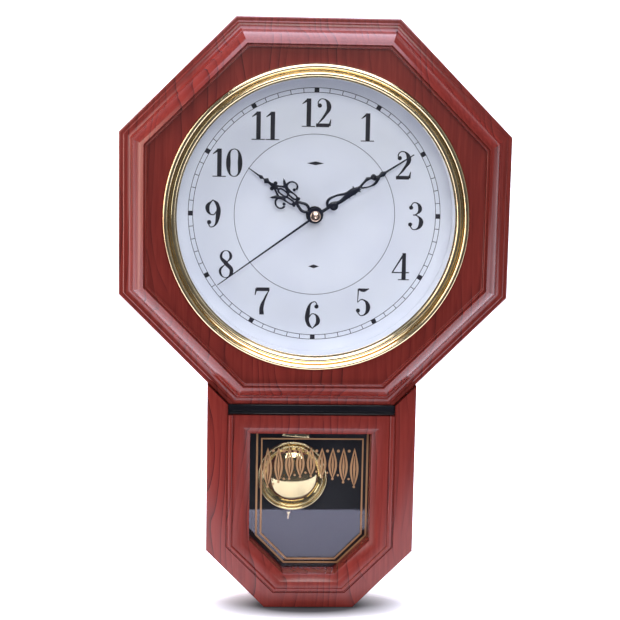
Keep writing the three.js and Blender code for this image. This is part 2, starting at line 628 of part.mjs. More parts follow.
function movementCase() {
  const shell = block(-MOVE_HALF, MOVE_HALF, -MOVE_HALF, MOVE_HALF, MOVE_SPLIT, MOVE_FRONT);
  const inside = block(
    -INNER_HALF, INNER_HALF, -INNER_HALF, INNER_HALF, MOVE_SPLIT - 1, MOVE_FRONT - MOVE_WALL);
  const divider = block(
    -MOVE_HALF + 0.5, MOVE_HALF - 0.5, DIVIDER - 1, DIVIDER, MOVE_SPLIT, MOVE_FRONT - 0.5);
  const bush = rod(BUSH_RADIUS, MOVE_FRONT - 0.5, BUSH_TOP);
  const bore = rod(HOUR_SHAFT + GAP, MOVE_SPLIT, BUSH_TOP + 1);
  return cut(join(cut(shell, inside), divider, bush), bore);
}
part("movement_case", movementCase(), MATERIALS.greyPlastic);

function movementCover() {
  const far = MOVE_SPLIT - GAP;
  const shell = block(-MOVE_HALF, MOVE_HALF, -MOVE_HALF, MOVE_HALF, MOVE_REAR, far);
  const inside = block(-INNER_HALF, INNER_HALF, -INNER_HALF, INNER_HALF, MOVE_REAR + MOVE_WALL, far + 1);
  const divider = block(-MOVE_HALF + 0.5, MOVE_HALF - 0.5, DIVIDER - 1, DIVIDER, MOVE_REAR + 0.5, far);
  const half = CELL_LENGTH / 2 + 0.55;
  const door = block(
    -half, half, CELL_Z - CELL_RADIUS - 0.35, CELL_Z + CELL_RADIUS + 0.25,
    MOVE_REAR - 1, MOVE_REAR + 2);
  const sockets = [centreArbor, thirdArbor, intermediateArbor, rotorArbor].map(([x, z]) =>
    tube(ARBOR + GAP, ARBOR + GAP + 0.8, MOVE_REAR + MOVE_WALL - 0.1, ARBOR_REAR + 0.6, x, z, COARSE));
  const knobHole = rod(KNOB_ARBOR + GAP, MOVE_REAR - 1, far, ...motionArbor, COARSE);
  const screws = [-1, 1].map((side) => screwHole(side * EAR_SCREW[0], EAR_SCREW[1], MOVE_REAR - 1, far));
  return cut(join(cut(shell, inside), divider, ...sockets), door, knobHole, ...screws);
}
part("movement_cover", movementCover(), MATERIALS.greyPlastic);

const PLATE_NEAR = MOVE_SPLIT - 0.4;
const PLATE_FAR = PLATE_NEAR + 0.8;
function middlePlate() {
  const plate = block(-PLATE_HALF, PLATE_HALF, -PLATE_HALF, DIVIDER - 1 - GAP, PLATE_NEAR, PLATE_FAR);
  const hole = (radius, [x, z]) => rod(radius + GAP, PLATE_NEAR - 1, PLATE_FAR + 1, x, z, COARSE);
  return cut(
    plate, hole(SECOND_SHAFT, centreArbor), hole(THIN_ARBOR, thirdArbor), hole(ARBOR, intermediateArbor),
    hole(ARBOR, rotorArbor), hole(KNOB_ARBOR, motionArbor));
}
part("middle_plate", middlePlate(), MATERIALS.gearWhite);

part("bush_washer", tube(BUSH_RADIUS + GAP, 7, DIAL_DEPTH + GAP, DIAL_DEPTH + 0.9), MATERIALS.rubber);
const NUT_NEAR = DIAL_DEPTH + 0.9 + GAP;
part("bush_nut", cut(prism(outline(circle(6.3, 6)), NUT_NEAR, NUT_NEAR + 2),
  rod(BUSH_RADIUS + GAP, NUT_NEAR - 1, NUT_NEAR + 3)), MATERIALS.brass);

// ---------------------------------------------------------------- movement: electrics
const STATOR_NEAR = 22.4;
const COIL_X = 22;
const COIL_RADIUS = 3.9;
const COIL_Z = [-17, 1];
const ROTOR_MAGNET = 3.2;
function stator() {
  const [rx, rz] = rotorArbor;
  const far = STATOR_NEAR + 0.8;
  const eye = rod(ROTOR_MAGNET + 1.7, STATOR_NEAR, far, rx, rz);
  const [low, high] = COIL_Z;
  const reach = COIL_X + 3;
  const lowArm = block(rx - 1, reach, low - 4, low - GAP, STATOR_NEAR, far);
  const highArm = block(rx - 1, reach, high + GAP, high + 4, STATOR_NEAR, far);
  const web = block(rx - 1, rx + 3, low - 4, high + 4, STATOR_NEAR, far);
  const hole = rod(ROTOR_MAGNET + 0.6, STATOR_NEAR - 1, far + 1, rx, rz);
  return cut(join(eye, lowArm, highArm, web), hole);
}
part("stator", stator(), MATERIALS.steel);

// A cylinder that stands upright.
function upright(radius, x, depth, z0, z1, segments = COARSE) {
  const geometry = new THREE.CylinderGeometry(radius, radius, z1 - z0, segments);
  return solid(geometry.rotateX(Math.PI / 2).translate(x, -depth, (z0 + z1) / 2));
}
part("coil", upright(COIL_RADIUS, COIL_X, 23.5, COIL_Z[0], COIL_Z[1], FINE), MATERIALS.copper);
part("circuit_board", block(-26, 10, -26, -16, 28, 29), MATERIALS.board);
part("crystal", upright(1, -10, 26.6, -24, -18), MATERIALS.steel);

function contact(side) {
  const x = side * (CELL_LENGTH / 2 + CELL_PLAY);
  const near = Math.min(x, x + side * CONTACT_THICK);
  return block(near, near + CONTACT_THICK, CELL_Z - 5, CELL_Z + 5, 20, 33);
}
part("contact_plus", contact(1), MATERIALS.steel);
part("contact_minus", contact(-1), MATERIALS.steel);

function cell() {
  const half = CELL_LENGTH / 2;
  const profile = vectors([
    [0, -half], [CELL_RADIUS - 0.8, -half], [CELL_RADIUS, -half + 0.8], [CELL_RADIUS, half - 1.9],
    [CELL_RADIUS - 0.9, half - 1.2], [2.7, half - 1.2], [2.7, half], [0, half],
  ]);
  const geometry = new THREE.LatheGeometry(profile, FINE);
  return solid(geometry.rotateZ(-Math.PI / 2).translate(0, -CELL_DEPTH, CELL_Z));
}
part("battery", cell(), MATERIALS.cell);

// ---------------------------------------------------------------- gears
// A wheel with pointed teeth that leave play; one tooth points along `phase` (degrees).
function gear(teeth, module, near, far, [x, z], phase) {
  const pitch = (teeth * module) / 2;
  const start = THREE.MathUtils.degToRad(phase);
  const points = Array.from({ length: teeth * 2 }, (_, i) => {
    const radius = i % 2 === 0 ? pitch + 0.7 * module : pitch - 1.3 * module;
    const angle = start + (i * Math.PI) / teeth;
    return [x + radius * Math.cos(angle), z + radius * Math.sin(angle)];
  });
  return prism(outline(points), near, far);
}
const halfPitch = (teeth) => 180 / teeth;

const LAYER = { intermediate: 20.3, seconds: 22.6, third: 25.6, centre: 27.8, cannon: 29.9, hour: 31.9 };

function rotor() {
  const towards = ROTOR_AT + 180;
  return join(
    rod(ARBOR, ARBOR_REAR, PLATE_FAR + 0.2, ...rotorArbor, COARSE),
    gear(
      TEETH.rotor, FINE_MODULE, LAYER.intermediate - 0.2, 21.5, rotorArbor,
      towards + halfPitch(TEETH.rotor)),
    rod(ROTOR_MAGNET, 21.9, 23.9, ...rotorArbor),
  );
}
part("rotor", rotor(), MATERIALS.magnet);

function intermediateWheel() {
  return join(
    rod(ARBOR, ARBOR_REAR, PLATE_FAR + 0.2, ...intermediateArbor, COARSE),
    gear(
      TEETH.intermediate, FINE_MODULE, LAYER.intermediate, LAYER.intermediate + 1,
      intermediateArbor, ROTOR_AT),
    gear(
      TEETH.intermediatePinion, SECONDS_MODULE, LAYER.intermediate + 0.9, LAYER.seconds + 1.4,
      intermediateArbor, INTERMEDIATE_AT + 180 + halfPitch(TEETH.intermediatePinion)),
  );
}
part("intermediate_wheel", intermediateWheel(), MATERIALS.gearAmber);

function secondsWheel() {
  return join(
    rod(SECOND_SHAFT, ARBOR_REAR, SECOND_HAND_DEPTH + HAND_THICK, 0, 0, COARSE),
    gear(TEETH.seconds, SECONDS_MODULE, LAYER.seconds, LAYER.seconds + 1.2, centreArbor, INTERMEDIATE_AT),
    gear(TEETH.secondsPinion, FINE_MODULE, LAYER.third - 0.2, LAYER.third + 1.2, centreArbor, THIRD_AT),
  );
}
part("seconds_wheel", secondsWheel(), MATERIALS.gearWhite);

function thirdWheel() {
  const towards = THIRD_AT + 180;
  return join(
    rod(THIN_ARBOR, ARBOR_REAR, MOVE_FRONT - MOVE_WALL - GAP, ...thirdArbor, COARSE),
    gear(
      TEETH.third, FINE_MODULE, LAYER.third, LAYER.third + 1, thirdArbor,
      towards + halfPitch(TEETH.third)),
    gear(TEETH.thirdPinion, FINE_MODULE, LAYER.third + 0.9, LAYER.centre + 1.2, thirdArbor,
      towards + halfPitch(TEETH.thirdPinion)),
  );
}
part("third_wheel", thirdWheel(), MATERIALS.gearAmber);

function centreWheel() {
  return cut(join(
    rod(MINUTE_SHAFT, LAYER.centre - 0.1, MINUTE_HAND_DEPTH + HAND_THICK + 0.8),
    gear(TEETH.centre, FINE_MODULE, LAYER.centre, LAYER.centre + 1, centreArbor, THIRD_AT),
    gear(TEETH.cannon, MOTION_MODULE, LAYER.cannon - 0.2, LAYER.cannon + 1.5, centreArbor,
      MOTION_AT + halfPitch(TEETH.cannon)),
  ), rod(SECOND_SHAFT + GAP, LAYER.centre - 1, MINUTE_HAND_DEPTH + 3, 0, 0, COARSE));
}
part("centre_wheel", centreWheel(), MATERIALS.gearWhite);

function motionWheel() {
  const towards = MOTION_AT + 180;
  return join(
    rod(KNOB_ARBOR, MOVE_REAR - 0.5, MOVE_FRONT - MOVE_WALL - GAP, ...motionArbor, COARSE),
    gear(TEETH.motion, MOTION_MODULE, LAYER.cannon, LAYER.cannon + 1.3, motionArbor, towards),
    gear(TEETH.motionPinion, MOTION_MODULE, LAYER.cannon + 1.2, LAYER.hour + 1.3, motionArbor,
      towards + halfPitch(TEETH.motionPinion)),
  );
}
part("motion_wheel", motionWheel(), MATERIALS.gearAmber);

function hourWheel() {
  return cut(join(
    rod(HOUR_SHAFT, LAYER.hour - 0.1, HOUR_HAND_DEPTH + HAND_THICK + 0.6),
    gear(TEETH.hour, MOTION_MODULE, LAYER.hour, LAYER.hour + 1.1, centreArbor, MOTION_AT),
  ), rod(MINUTE_SHAFT + GAP, LAYER.hour - 1, HOUR_HAND_DEPTH + 4));
}
part("hour_wheel", hourWheel(), MATERIALS.gearWhite);

function setKnob() {
  const near = MOVE_REAR - GAP - 3.9;
  const knob = prism(outline(circle(5, 20, ...motionArbor)), near, MOVE_REAR - GAP);
  return cut(knob, rod(KNOB_ARBOR + GAP, MOVE_REAR - 1, MOVE_REAR + 1, ...motionArbor, COARSE));
}
part("set_knob", setKnob(), MATERIALS.blackPlastic);

// ---------------------------------------------------------------- hands
function handGroup(angle) {
  const group = new THREE.Group();
  group.rotation.y = THREE.MathUtils.degToRad(angle);
  clock.add(group);
  return group;
}

function needle(width, from, to) {
  return outline([[-width / 2, from], [width / 2, from], [width / 6, to], [-width / 6, to]]);
}

// A hand with two round scrolls at `scrolls` of its length.
function scrollHand(length, boss, bore, depth, scrolls, loop) {
  const far = depth + HAND_THICK;
  const rings = [-1, 1].map((side) => {
    const [x, z] = [side * (loop + 1.2), scrolls * length];
    return prism(outline(circle(loop, FINE, x, z), circle(loop - 1.2, FINE, x, z).reverse()), depth, far);
  });
  const stem = prism(needle(2.8, 0, length), depth, far);
  const bar = block(-loop, loop, scrolls * length - 0.8, scrolls * length + 0.8, depth, far);
  const inner = [-1, 1].map((side) =>
    rod(loop - 1.2, depth - 1, far + 1, side * (loop + 1.2), scrolls * length));
  const blade = cut(join(bar, ...rings), ...inner);
  return cut(join(rod(boss, depth, far), stem, blade), rod(bore, depth - 1, far + 1));
}
part("hour_hand", scrollHand(HOUR_LENGTH, 6.4, HOUR_SHAFT + GAP, HOUR_HAND_DEPTH, 0.44, 5),
  MATERIALS.handBlack, handGroup(HOUR_ANGLE));
part("minute_hand", scrollHand(MINUTE_LENGTH, 6, MINUTE_SHAFT + GAP, MINUTE_HAND_DEPTH, 0.3, 3.6),
  MATERIALS.handBlack, handGroup(MINUTE_ANGLE));

function secondHand() {
  const far = SECOND_HAND_DEPTH + HAND_THICK / 2;
  const stem = prism(needle(1.5, 0, SECOND_LENGTH), SECOND_HAND_DEPTH, far);
  const hub = rod(3, SECOND_HAND_DEPTH, far);
  return cut(join(stem, hub), rod(SECOND_SHAFT + GAP, SECOND_HAND_DEPTH - 1, far + 1, 0, 0, COARSE));
}
part("second_hand", secondHand(), MATERIALS.handBlack, handGroup(SECOND_ANGLE));
const CAP_NEAR = SECOND_HAND_DEPTH + HAND_THICK + GAP;
part("hand_cap", turned([
  [0, CAP_NEAR], [4.2, CAP_NEAR], [4.2, CAP_NEAR + 0.9], [3.3, CAP_NEAR + 1.9], [1.4, CAP_NEAR + 2.3],
  [0, CAP_NEAR + 1.9],
]), MATERIALS.gilt);

// ---------------------------------------------------------------- pendulum drive
const DRIVE_WALL = 1.2;
const COIL_NEAR = 21.5;
const MAGNET_Z = PIVOT_Z - MAGNET_DISTANCE;
const PIN_RADIUS = 1;

function driveCase() {
  const shell = block(-DRIVE_HALF, DRIVE_HALF, DRIVE_BOTTOM, DRIVE_TOP, DRIVE_REAR, MOVE_FRONT);
  const inside = block(-DRIVE_HALF + DRIVE_WALL, DRIVE_HALF - DRIVE_WALL, DRIVE_BOTTOM + DRIVE_WALL,
    DRIVE_TOP - DRIVE_WALL, DRIVE_REAR - 1, MOVE_FRONT - DRIVE_WALL);
  const slot = block(
    -11, 11, DRIVE_BOTTOM - 1, DRIVE_BOTTOM + DRIVE_WALL + 1, DRIVE_REAR + 1.5, LEVER_DEPTH + 5);
  const coilPost = rod(2.2, COIL_NEAR, MOVE_FRONT - DRIVE_WALL + 0.2, 0, MAGNET_Z);
  const [ex, ez] = EAR_SCREW;
  const earNear = MOVE_REAR - GAP - 3;
  const ears = [-1, 1].map((side) => {
    const [x0, x1] = [side * (ex - 3.5), side * (ex + 3.5)].sort((a, b) => a - b);
    return block(x0, x1, DRIVE_TOP - 0.5, ez + 3.5, earNear, MOVE_REAR - GAP);
  });
  const holes = [-1, 1].map((side) => screwHole(side * ex, ez, earNear - 1, MOVE_REAR));
  const pinBoss = rod(2.4, LEVER_DEPTH + 4, MOVE_FRONT - DRIVE_WALL + 0.2, 0, PIVOT_Z);
  const pinHole = rod(PIN_RADIUS + GAP, LEVER_DEPTH, MOVE_FRONT - DRIVE_WALL - 1, 0, PIVOT_Z, COARSE);
  return cut(join(cut(shell, inside), coilPost, ...ears, pinBoss), slot, ...holes, pinHole);
}
part("drive_case", driveCase(), MATERIALS.greyPlastic);
part(
  "drive_cover",
  block(-DRIVE_HALF, DRIVE_HALF, DRIVE_BOTTOM, DRIVE_TOP, DRIVE_REAR - GAP - 1.2, DRIVE_REAR - GAP),
  MATERIALS.greyPlastic);
part("drive_coil", tube(2.2 + GAP, 7, COIL_NEAR, COIL_NEAR + 4, 0, MAGNET_Z), MATERIALS.copper);
part("pivot_pin", rod(PIN_RADIUS, DRIVE_REAR + GAP, MOVE_FRONT - DRIVE_WALL - 1 - GAP, 0, PIVOT_Z, COARSE),
  MATERIALS.steel);
["left", "right"].forEach((place, i) =>
  screw("drive_screw_" + place, (i * 2 - 1) * EAR_SCREW[0], EAR_SCREW[1],
    MOVE_REAR - GAP * 2 - 4.5, MOVE_SPLIT - 2.5));

// ------------------------------------------------- pendulum, hanging straight down from its pivot
const pendulum = new THREE.Group();
pendulum.position.z = PIVOT_Z;
pendulum.rotation.y = THREE.MathUtils.degToRad(PENDULUM_REST);
clock.add(pendulum);

const LEVER_FAR = LEVER_DEPTH + LEVER_THICK;
const HOOK_RADIUS = 1;
function lever() {
  const blade = block(-3, 3, -HOOK_DISTANCE - 3, 0, LEVER_DEPTH, LEVER_FAR);
  const eye = rod(4, LEVER_DEPTH, LEVER_FAR);
  const pocket = rod(MAGNET_RADIUS + 1.6, LEVER_DEPTH, LEVER_FAR, 0, -MAGNET_DISTANCE);
  const hook = rod(HOOK_RADIUS, GRID_DEPTH - 0.8, LEVER_DEPTH + 0.5, 0, -HOOK_DISTANCE, COARSE);
  const pinHole = rod(PIN_RADIUS + GAP, LEVER_DEPTH - 1, LEVER_FAR + 1, 0, 0, COARSE);
  const magnetHole = rod(MAGNET_RADIUS + GAP, LEVER_DEPTH - 1, LEVER_FAR + 1, 0, -MAGNET_DISTANCE);
  return cut(join(blade, eye, pocket, hook), pinHole, magnetHole);
}
part("pendulum_lever", lever(), MATERIALS.gearWhite, pendulum);
part("lever_magnet", rod(MAGNET_RADIUS, LEVER_DEPTH - 0.2, LEVER_DEPTH + 2.8, 0, -MAGNET_DISTANCE),
  MATERIALS.magnet, pendulum);

const GRID_FAR = GRID_DEPTH + GRID_THICK;
const BAR_TOP = -HOOK_DISTANCE - 16;
const BAR_HEIGHT = 4;
const BAR_LOW = -(BOB_DISTANCE - BOB_RADIUS - 2.8); // lower edge of the lower bar
const ROD_END = -(BOB_DISTANCE + BOB_RADIUS + 9);
function pendulumGrid() {
  const strip = (x, half, top, low) => block(x - half, x + half, low, top, GRID_DEPTH, GRID_FAR);
  const reach = GRID_PITCH + ROD_WIDTH;
  const eye = rod(3.2, GRID_DEPTH, GRID_FAR, 0, -HOOK_DISTANCE);
  const sides = [-1, 1].map((side) => strip(side * GRID_PITCH, ROD_WIDTH / 2, BAR_TOP - 1, BAR_LOW + 1));
  const hole = rod(HOOK_RADIUS + GAP, GRID_DEPTH - 1, GRID_FAR + 1, 0, -HOOK_DISTANCE, COARSE);
  return cut(join(
    eye, strip(0, 2, -HOOK_DISTANCE, BAR_TOP), strip(0, reach, BAR_TOP, BAR_TOP - BAR_HEIGHT), ...sides,
    strip(0, reach, BAR_LOW + BAR_HEIGHT, BAR_LOW), strip(0, ROD_WIDTH / 2, BAR_TOP, ROD_END),
  ), hole);
}
part("pendulum_grid", pendulumGrid(), MATERIALS.brass, pendulum);

const BOB_REAR = GRID_FAR + 1.2;
function bob() {
  const z = -BOB_DISTANCE;
  const r = BOB_RADIUS;
  const dish = turned([
    [0, BOB_REAR], [r - 1.2, BOB_REAR], [r, BOB_REAR + 1], [r, BOB_REAR + 2], [r - 1.2, BOB_REAR + 3.2],
    [r - 2.6, BOB_REAR + 2.4], [r - 3.8, BOB_REAR + 3.6], [r - 5.2, BOB_REAR + 2.2],
    [r * 0.5, BOB_REAR + 4.4],
    [0, BOB_REAR + 5.2],
  ], 0, z, 40);
  const rodHalf = ROD_WIDTH / 2 + GAP;
  const clips = [z + r - 9, z - r + 1].map((low) => cut(
    block(-3, 3, low, low + 5, GRID_DEPTH - 1.4, BOB_REAR + 0.5),
    block(-rodHalf, rodHalf, low - 1, low + 6, GRID_DEPTH - GAP, GRID_FAR + GAP),
  ));
  return join(dish, ...clips);
}
part("bob_disc", bob(), MATERIALS.brass, pendulum);

function ratingNut() {
  const top = -(BOB_DISTANCE + BOB_RADIUS) - 0.5;
  const bore = ROD_WIDTH / 2 + GAP + 0.15;
  const profile = vectors([[bore, top - 5], [1.5, top - 5], [2.3, top - 3.6], [2.3, top], [bore, top]]);
  profile.push(profile[0].clone());
  const geometry = new THREE.LatheGeometry(profile, 16);
  return solid(geometry.rotateX(Math.PI / 2).translate(0, -(GRID_DEPTH + GRID_THICK / 2), 0));
}
part("rating_nut", ratingNut(), MATERIALS.brass, pendulum);

export default clock;
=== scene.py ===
# %% [markdown]
# # An octagonal pendulum wall clock
# A long-drop clock has an eight-sided head round the dial and a small case below it, where a
# pendulum swings behind a pane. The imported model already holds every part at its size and
# place. This lesson builds the surfaces that the eye sees round that frame: the moulded
# case, the gilt ring, the printed dial, the scrolled hands, the pane and the pendulum.

# %% The fixed frame
from math import cos, pi, radians, sin, sqrt

import bmesh
import bpy
from mathutils import Matrix, Vector


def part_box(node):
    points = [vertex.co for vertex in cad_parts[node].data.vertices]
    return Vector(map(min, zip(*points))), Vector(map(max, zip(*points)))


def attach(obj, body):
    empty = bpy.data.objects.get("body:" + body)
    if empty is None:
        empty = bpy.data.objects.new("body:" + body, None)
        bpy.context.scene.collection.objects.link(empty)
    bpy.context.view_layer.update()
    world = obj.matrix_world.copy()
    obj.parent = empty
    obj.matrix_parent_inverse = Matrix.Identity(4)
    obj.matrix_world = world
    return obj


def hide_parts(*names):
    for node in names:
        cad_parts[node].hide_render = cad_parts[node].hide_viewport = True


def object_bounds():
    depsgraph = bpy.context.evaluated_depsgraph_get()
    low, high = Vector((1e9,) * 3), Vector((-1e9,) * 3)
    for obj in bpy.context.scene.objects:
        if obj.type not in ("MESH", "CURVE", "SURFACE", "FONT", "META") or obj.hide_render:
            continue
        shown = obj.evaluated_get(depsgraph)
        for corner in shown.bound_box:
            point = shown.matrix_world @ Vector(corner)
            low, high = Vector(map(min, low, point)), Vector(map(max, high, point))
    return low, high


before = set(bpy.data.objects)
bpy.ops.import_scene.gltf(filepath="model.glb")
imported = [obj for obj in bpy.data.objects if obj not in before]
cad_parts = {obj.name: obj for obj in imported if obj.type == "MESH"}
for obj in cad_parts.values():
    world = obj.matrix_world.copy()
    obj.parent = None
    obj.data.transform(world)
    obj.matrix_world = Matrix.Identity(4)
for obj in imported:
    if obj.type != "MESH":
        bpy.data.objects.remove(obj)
CAD_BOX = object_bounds()
MM = 0.001

# %% [markdown]
# Everything on the clock is placed from the middle of its dial and from the wall behind it.
# So one small function turns "so far right, so far in front of the wall, so far above the
# dial's middle", in millimetres, into a place in the scene. The dial's height comes from the
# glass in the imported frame.

# %% Places in millimetres
low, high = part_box("dial_lens")
DIAL_Z = (low.z + high.z) / 2


def at(x, depth, z):
    return Vector((x * MM, -depth * MM, DIAL_Z + z * MM))


def span(node):
    """A node's sides in millimetres: left, right, rear and front depth, lower and upper edge."""
    a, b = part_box(node)
    return a.x / MM, b.x / MM, -b.y / MM, -a.y / MM, (a.z - DIAL_Z) / MM, (b.z - DIAL_Z) / MM


print("dial centre height", round(DIAL_Z, 4))

# %% [markdown]
# Operators act on whatever is selected, and the frame leaves its nodes selected. Each new
# piece therefore starts from an empty selection, and is then the only thing selected.

# %% Selecting one thing only
def nothing_selected():
    bpy.ops.object.select_all(action="DESELECT")


def only(piece):
    nothing_selected()
    piece.select_set(True)
    bpy.context.view_layer.objects.active = piece
    return piece


def begin(name):
    """Names the primitive just added, settles its place in its mesh and opens it for editing."""
    piece = bpy.context.object
    piece.name = piece.data.name = name
    bpy.ops.object.transform_apply(location=True, rotation=True, scale=True)
    bpy.ops.object.mode_set(mode="EDIT")
    bpy.ops.mesh.select_all(action="SELECT")
    return piece


def open_mesh():
    mesh = bmesh.from_edit_mesh(bpy.context.object.data)
    mesh.verts.ensure_lookup_table()
    return mesh


def extrude(*by):
    bpy.ops.mesh.extrude_region_move(TRANSFORM_OT_translate={"value": by})


def close_up():
    """Leaves edit mode with doubles merged and every face pointing out."""
    bpy.ops.mesh.select_all(action="SELECT")
    bpy.ops.mesh.remove_doubles(threshold=1e-6)
    bpy.ops.mesh.dissolve_degenerate(threshold=1e-6)
    bpy.ops.mesh.normals_make_consistent(inside=False)
    bpy.ops.object.mode_set(mode="OBJECT")
    return bpy.context.object


# %% [markdown]
# Rings, discs, screws and the bob are all turned shapes. A lathe could be imitated with the
# spin operator, but a ring of edges that is extruded and resized again and again needs no
# seam to be closed, and the same steps with eight edges give the head's octagon. A profile
# is a list of [radius, depth]. A filled start makes a solid, and an open one a hollow ring.

# %% Turned shapes
def turned(name, profile, x=0.0, z=0.0, segments=96, phase=0.0, ring=False):
    nothing_selected()
    radius, depth = profile[0]
    bpy.ops.mesh.primitive_circle_add(
        vertices=segments, radius=radius * MM, fill_type="NOTHING" if ring else "NGON",
        location=at(x, depth, z), rotation=(pi / 2, phase, 0))
    begin(name)
    for wide, deep in profile[1:] + ([profile[0]] if ring else []):
        extrude(0, (depth - deep) * MM, 0)
        scale = max(wide, 1e-3) / radius
        if abs(scale - 1) > 1e-9:
            bpy.ops.transform.resize(value=(scale, 1, scale), center_override=at(x, deep, z))
        radius, depth = max(wide, 1e-3), deep
    if not ring and profile[-1][0] == 0:
        bpy.ops.mesh.merge(type="CENTER")
    return close_up()


def arc(middle, high, width, rise, steps, start=0.0, end=180.0):
    """Points of a round-topped roll, from `start` to `end` degrees."""
    turns = [radians(start + (end - start) * i / steps) for i in range(steps + 1)]
    return [[middle + width * cos(t), high + rise * sin(t)] for t in turns]


# %% [markdown]
# The drop is no circle: its sides are upright and its two lower corners are cut off, and
# its rails are wider at the sides than below. So its loops are extruded in the same way,
# but each corner of the new loop is then moved to its own place.

# %% Shapes that follow an outline
def outlined(name, loops, ring=False):
    """`loops` holds (corners, depth) pairs, and every corners list has the same length."""
    nothing_selected()
    bpy.ops.mesh.primitive_circle_add(
        vertices=len(loops[0][0]), radius=MM, fill_type="NOTHING" if ring else "NGON",
        location=at(0, 0, 0), rotation=(pi / 2, 0, 0))
    begin(name)
    mesh = open_mesh()
    order = list(range(len(mesh.verts)))
    for step, (corners, depth) in enumerate(loops + ([loops[0]] if ring else [])):
        if step:
            extrude(0, 0, 0)
            mesh = open_mesh()
            fresh = [v.index for v in mesh.verts if v.select]
            places = [mesh.verts[i].co.copy() for i in order]
            order = [min(fresh, key=lambda i: (mesh.verts[i].co - p).length) for p in places]
        for index, (x, z) in zip(order, corners):
            mesh = open_mesh()
            for v in mesh.verts:
                v.select_set(v.index == index)
            mesh.select_flush_mode()
            bpy.ops.transform.translate(value=at(x, depth, z) - mesh.verts[index].co)
        mesh = open_mesh()
        for i in order:
            mesh.verts[i].select_set(True)
        mesh.select_flush(True)
        bmesh.update_edit_mesh(bpy.context.object.data)
    return close_up()


def block(name, x0, x1, rear, front, z0, z1, edge=0.0):
    """A box between two depths, with its edges rounded by `edge`."""
    nothing_selected()
    bpy.ops.mesh.primitive_cube_add(
        size=MM, location=at((x0 + x1) / 2, (rear + front) / 2, (z0 + z1) / 2),
        scale=(x1 - x0, front - rear, z1 - z0))
    begin(name)
    if edge:
        bpy.ops.mesh.bevel(offset=edge * MM, segments=3, affect="EDGES")
    return close_up()


# %% [markdown]
# Openings are cut the way a maker would saw them: a plain block or disc is the tool, and
# the boolean modifier takes it away. Pieces that are welded on are joined in the same way.

# %% Cutting, joining and finishing
def apply(piece, kind, **settings):
    only(piece)
    modifier = piece.modifiers.new(kind.lower(), kind)
    for key, value in settings.items():
        setattr(modifier, key, value)
    bpy.ops.object.modifier_apply(modifier=modifier.name)


def carve(piece, *tools, operation="DIFFERENCE"):
    for tool in tools:
        apply(piece, "BOOLEAN", object=tool, operation=operation, solver="EXACT")
        bpy.data.objects.remove(tool)
    return piece


def gather(name, pieces):
    """Several meshes as one object."""
    nothing_selected()
    for piece in pieces:
        piece.select_set(True)
    bpy.context.view_layer.objects.active = pieces[0]
    bpy.ops.object.join()
    pieces[0].name = pieces[0].data.name = name
    return pieces[0]


def settle(piece, finish, body, slot, *stands_for, crease=30):
    only(piece)
    bpy.ops.object.shade_smooth_by_angle(angle=radians(crease))
    piece.data.materials.clear()
    piece.data.materials.append(finish)
    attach(piece, body)
    if stands_for:
        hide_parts(*stands_for)
    print(piece.name, len(piece.data.polygons), "faces")
    return piece


# %% [markdown]
# ## The camera
# A long lens about 1.4 m in front of the clock, near the hook's height, looks down a little
# and from the left, so the undersides stay hidden and the upper mouldings catch the light.

# %% The camera
camera_data = bpy.data.cameras.new("camera")
camera_data.lens, camera_data.sensor_width = 98.7, 36
camera_data.clip_start, camera_data.clip_end = 0.05, 30
camera = bpy.data.objects.new("camera", camera_data)
CAMERA_PLACE, CAMERA_TURN = (-0.0755, -1.3856, 0.0069), (81.088, -1.077, -2.941)
camera.location = CAMERA_PLACE
camera.rotation_euler = [radians(a) for a in CAMERA_TURN]
bpy.context.collection.objects.link(camera)
bpy.context.scene.camera = camera
print("camera lens", camera_data.lens)

# %% [markdown]
# ## Finishes
# A finish is a small tree of nodes. One function adds a node with its settings and its
# links, and colours are written as the hex values that a paint chart gives, which another
# function turns to the linear numbers that light is worked out with.

# %% Helpers for finishes
def colour(code):
    parts = [int(code[i:i + 2], 16) / 255 for i in (1, 3, 5)]
    return [c / 12.92 if c <= 0.04045 else ((c + 0.055) / 1.055) ** 2.4 for c in parts] + [1]


def add(tree, kind, inputs=None, **settings):
    made = tree.nodes.new("ShaderNode" + kind)
    for key, value in settings.items():
        setattr(made, key, value)
    for key, value in (inputs or {}).items():
        if isinstance(value, bpy.types.NodeSocket):
            tree.links.new(value, made.inputs[key])
        else:
            made.inputs[key].default_value = value
    return made


def ramp(tree, factor, *stops):
    """A colour ramp whose stops are (place, hex colour)."""
    made = add(tree, "ValToRGB", {"Fac": factor})
    elements = made.color_ramp.elements
    for i, (place, code) in enumerate(stops):
        element = elements[i] if i < 2 else elements.new(place)
        element.position, element.color = place, colour(code)
    return made.outputs["Color"]


def finish(name, **sockets):
    """A new material with a Principled shader whose named sockets are set."""
    made = bpy.data.materials.new(name)
    made.use_nodes = True
    tree = made.node_tree
    tree.nodes.clear()
    inputs = {key.replace("_", " "): value for key, value in sockets.items()}
    shader = add(tree, "BsdfPrincipled", inputs)
    add(tree, "OutputMaterial", {"Surface": shader.outputs["BSDF"]})
    return made, tree, shader


def place_of(tree, scale=(1, 1, 1)):
    """Object coordinates in metres, stretched by `scale`."""
    where = add(tree, "TexCoord").outputs["Object"]
    return add(tree, "Mapping", {"Vector": where, "Scale": scale}).outputs["Vector"]


def noise(tree, where, grain_mm, detail=2.0, rough=0.5):
    settings = {"Vector": where, "Scale": 1000 / grain_mm, "Detail": detail, "Roughness": rough}
    return add(tree, "TexNoise", settings).outputs["Fac"]


def bump(tree, shader, height, deep_mm, strength=1.0):
    made = add(tree, "Bump", {"Height": height, "Distance": deep_mm * MM, "Strength": strength})
    tree.links.new(made.outputs["Normal"], shader.inputs["Normal"])


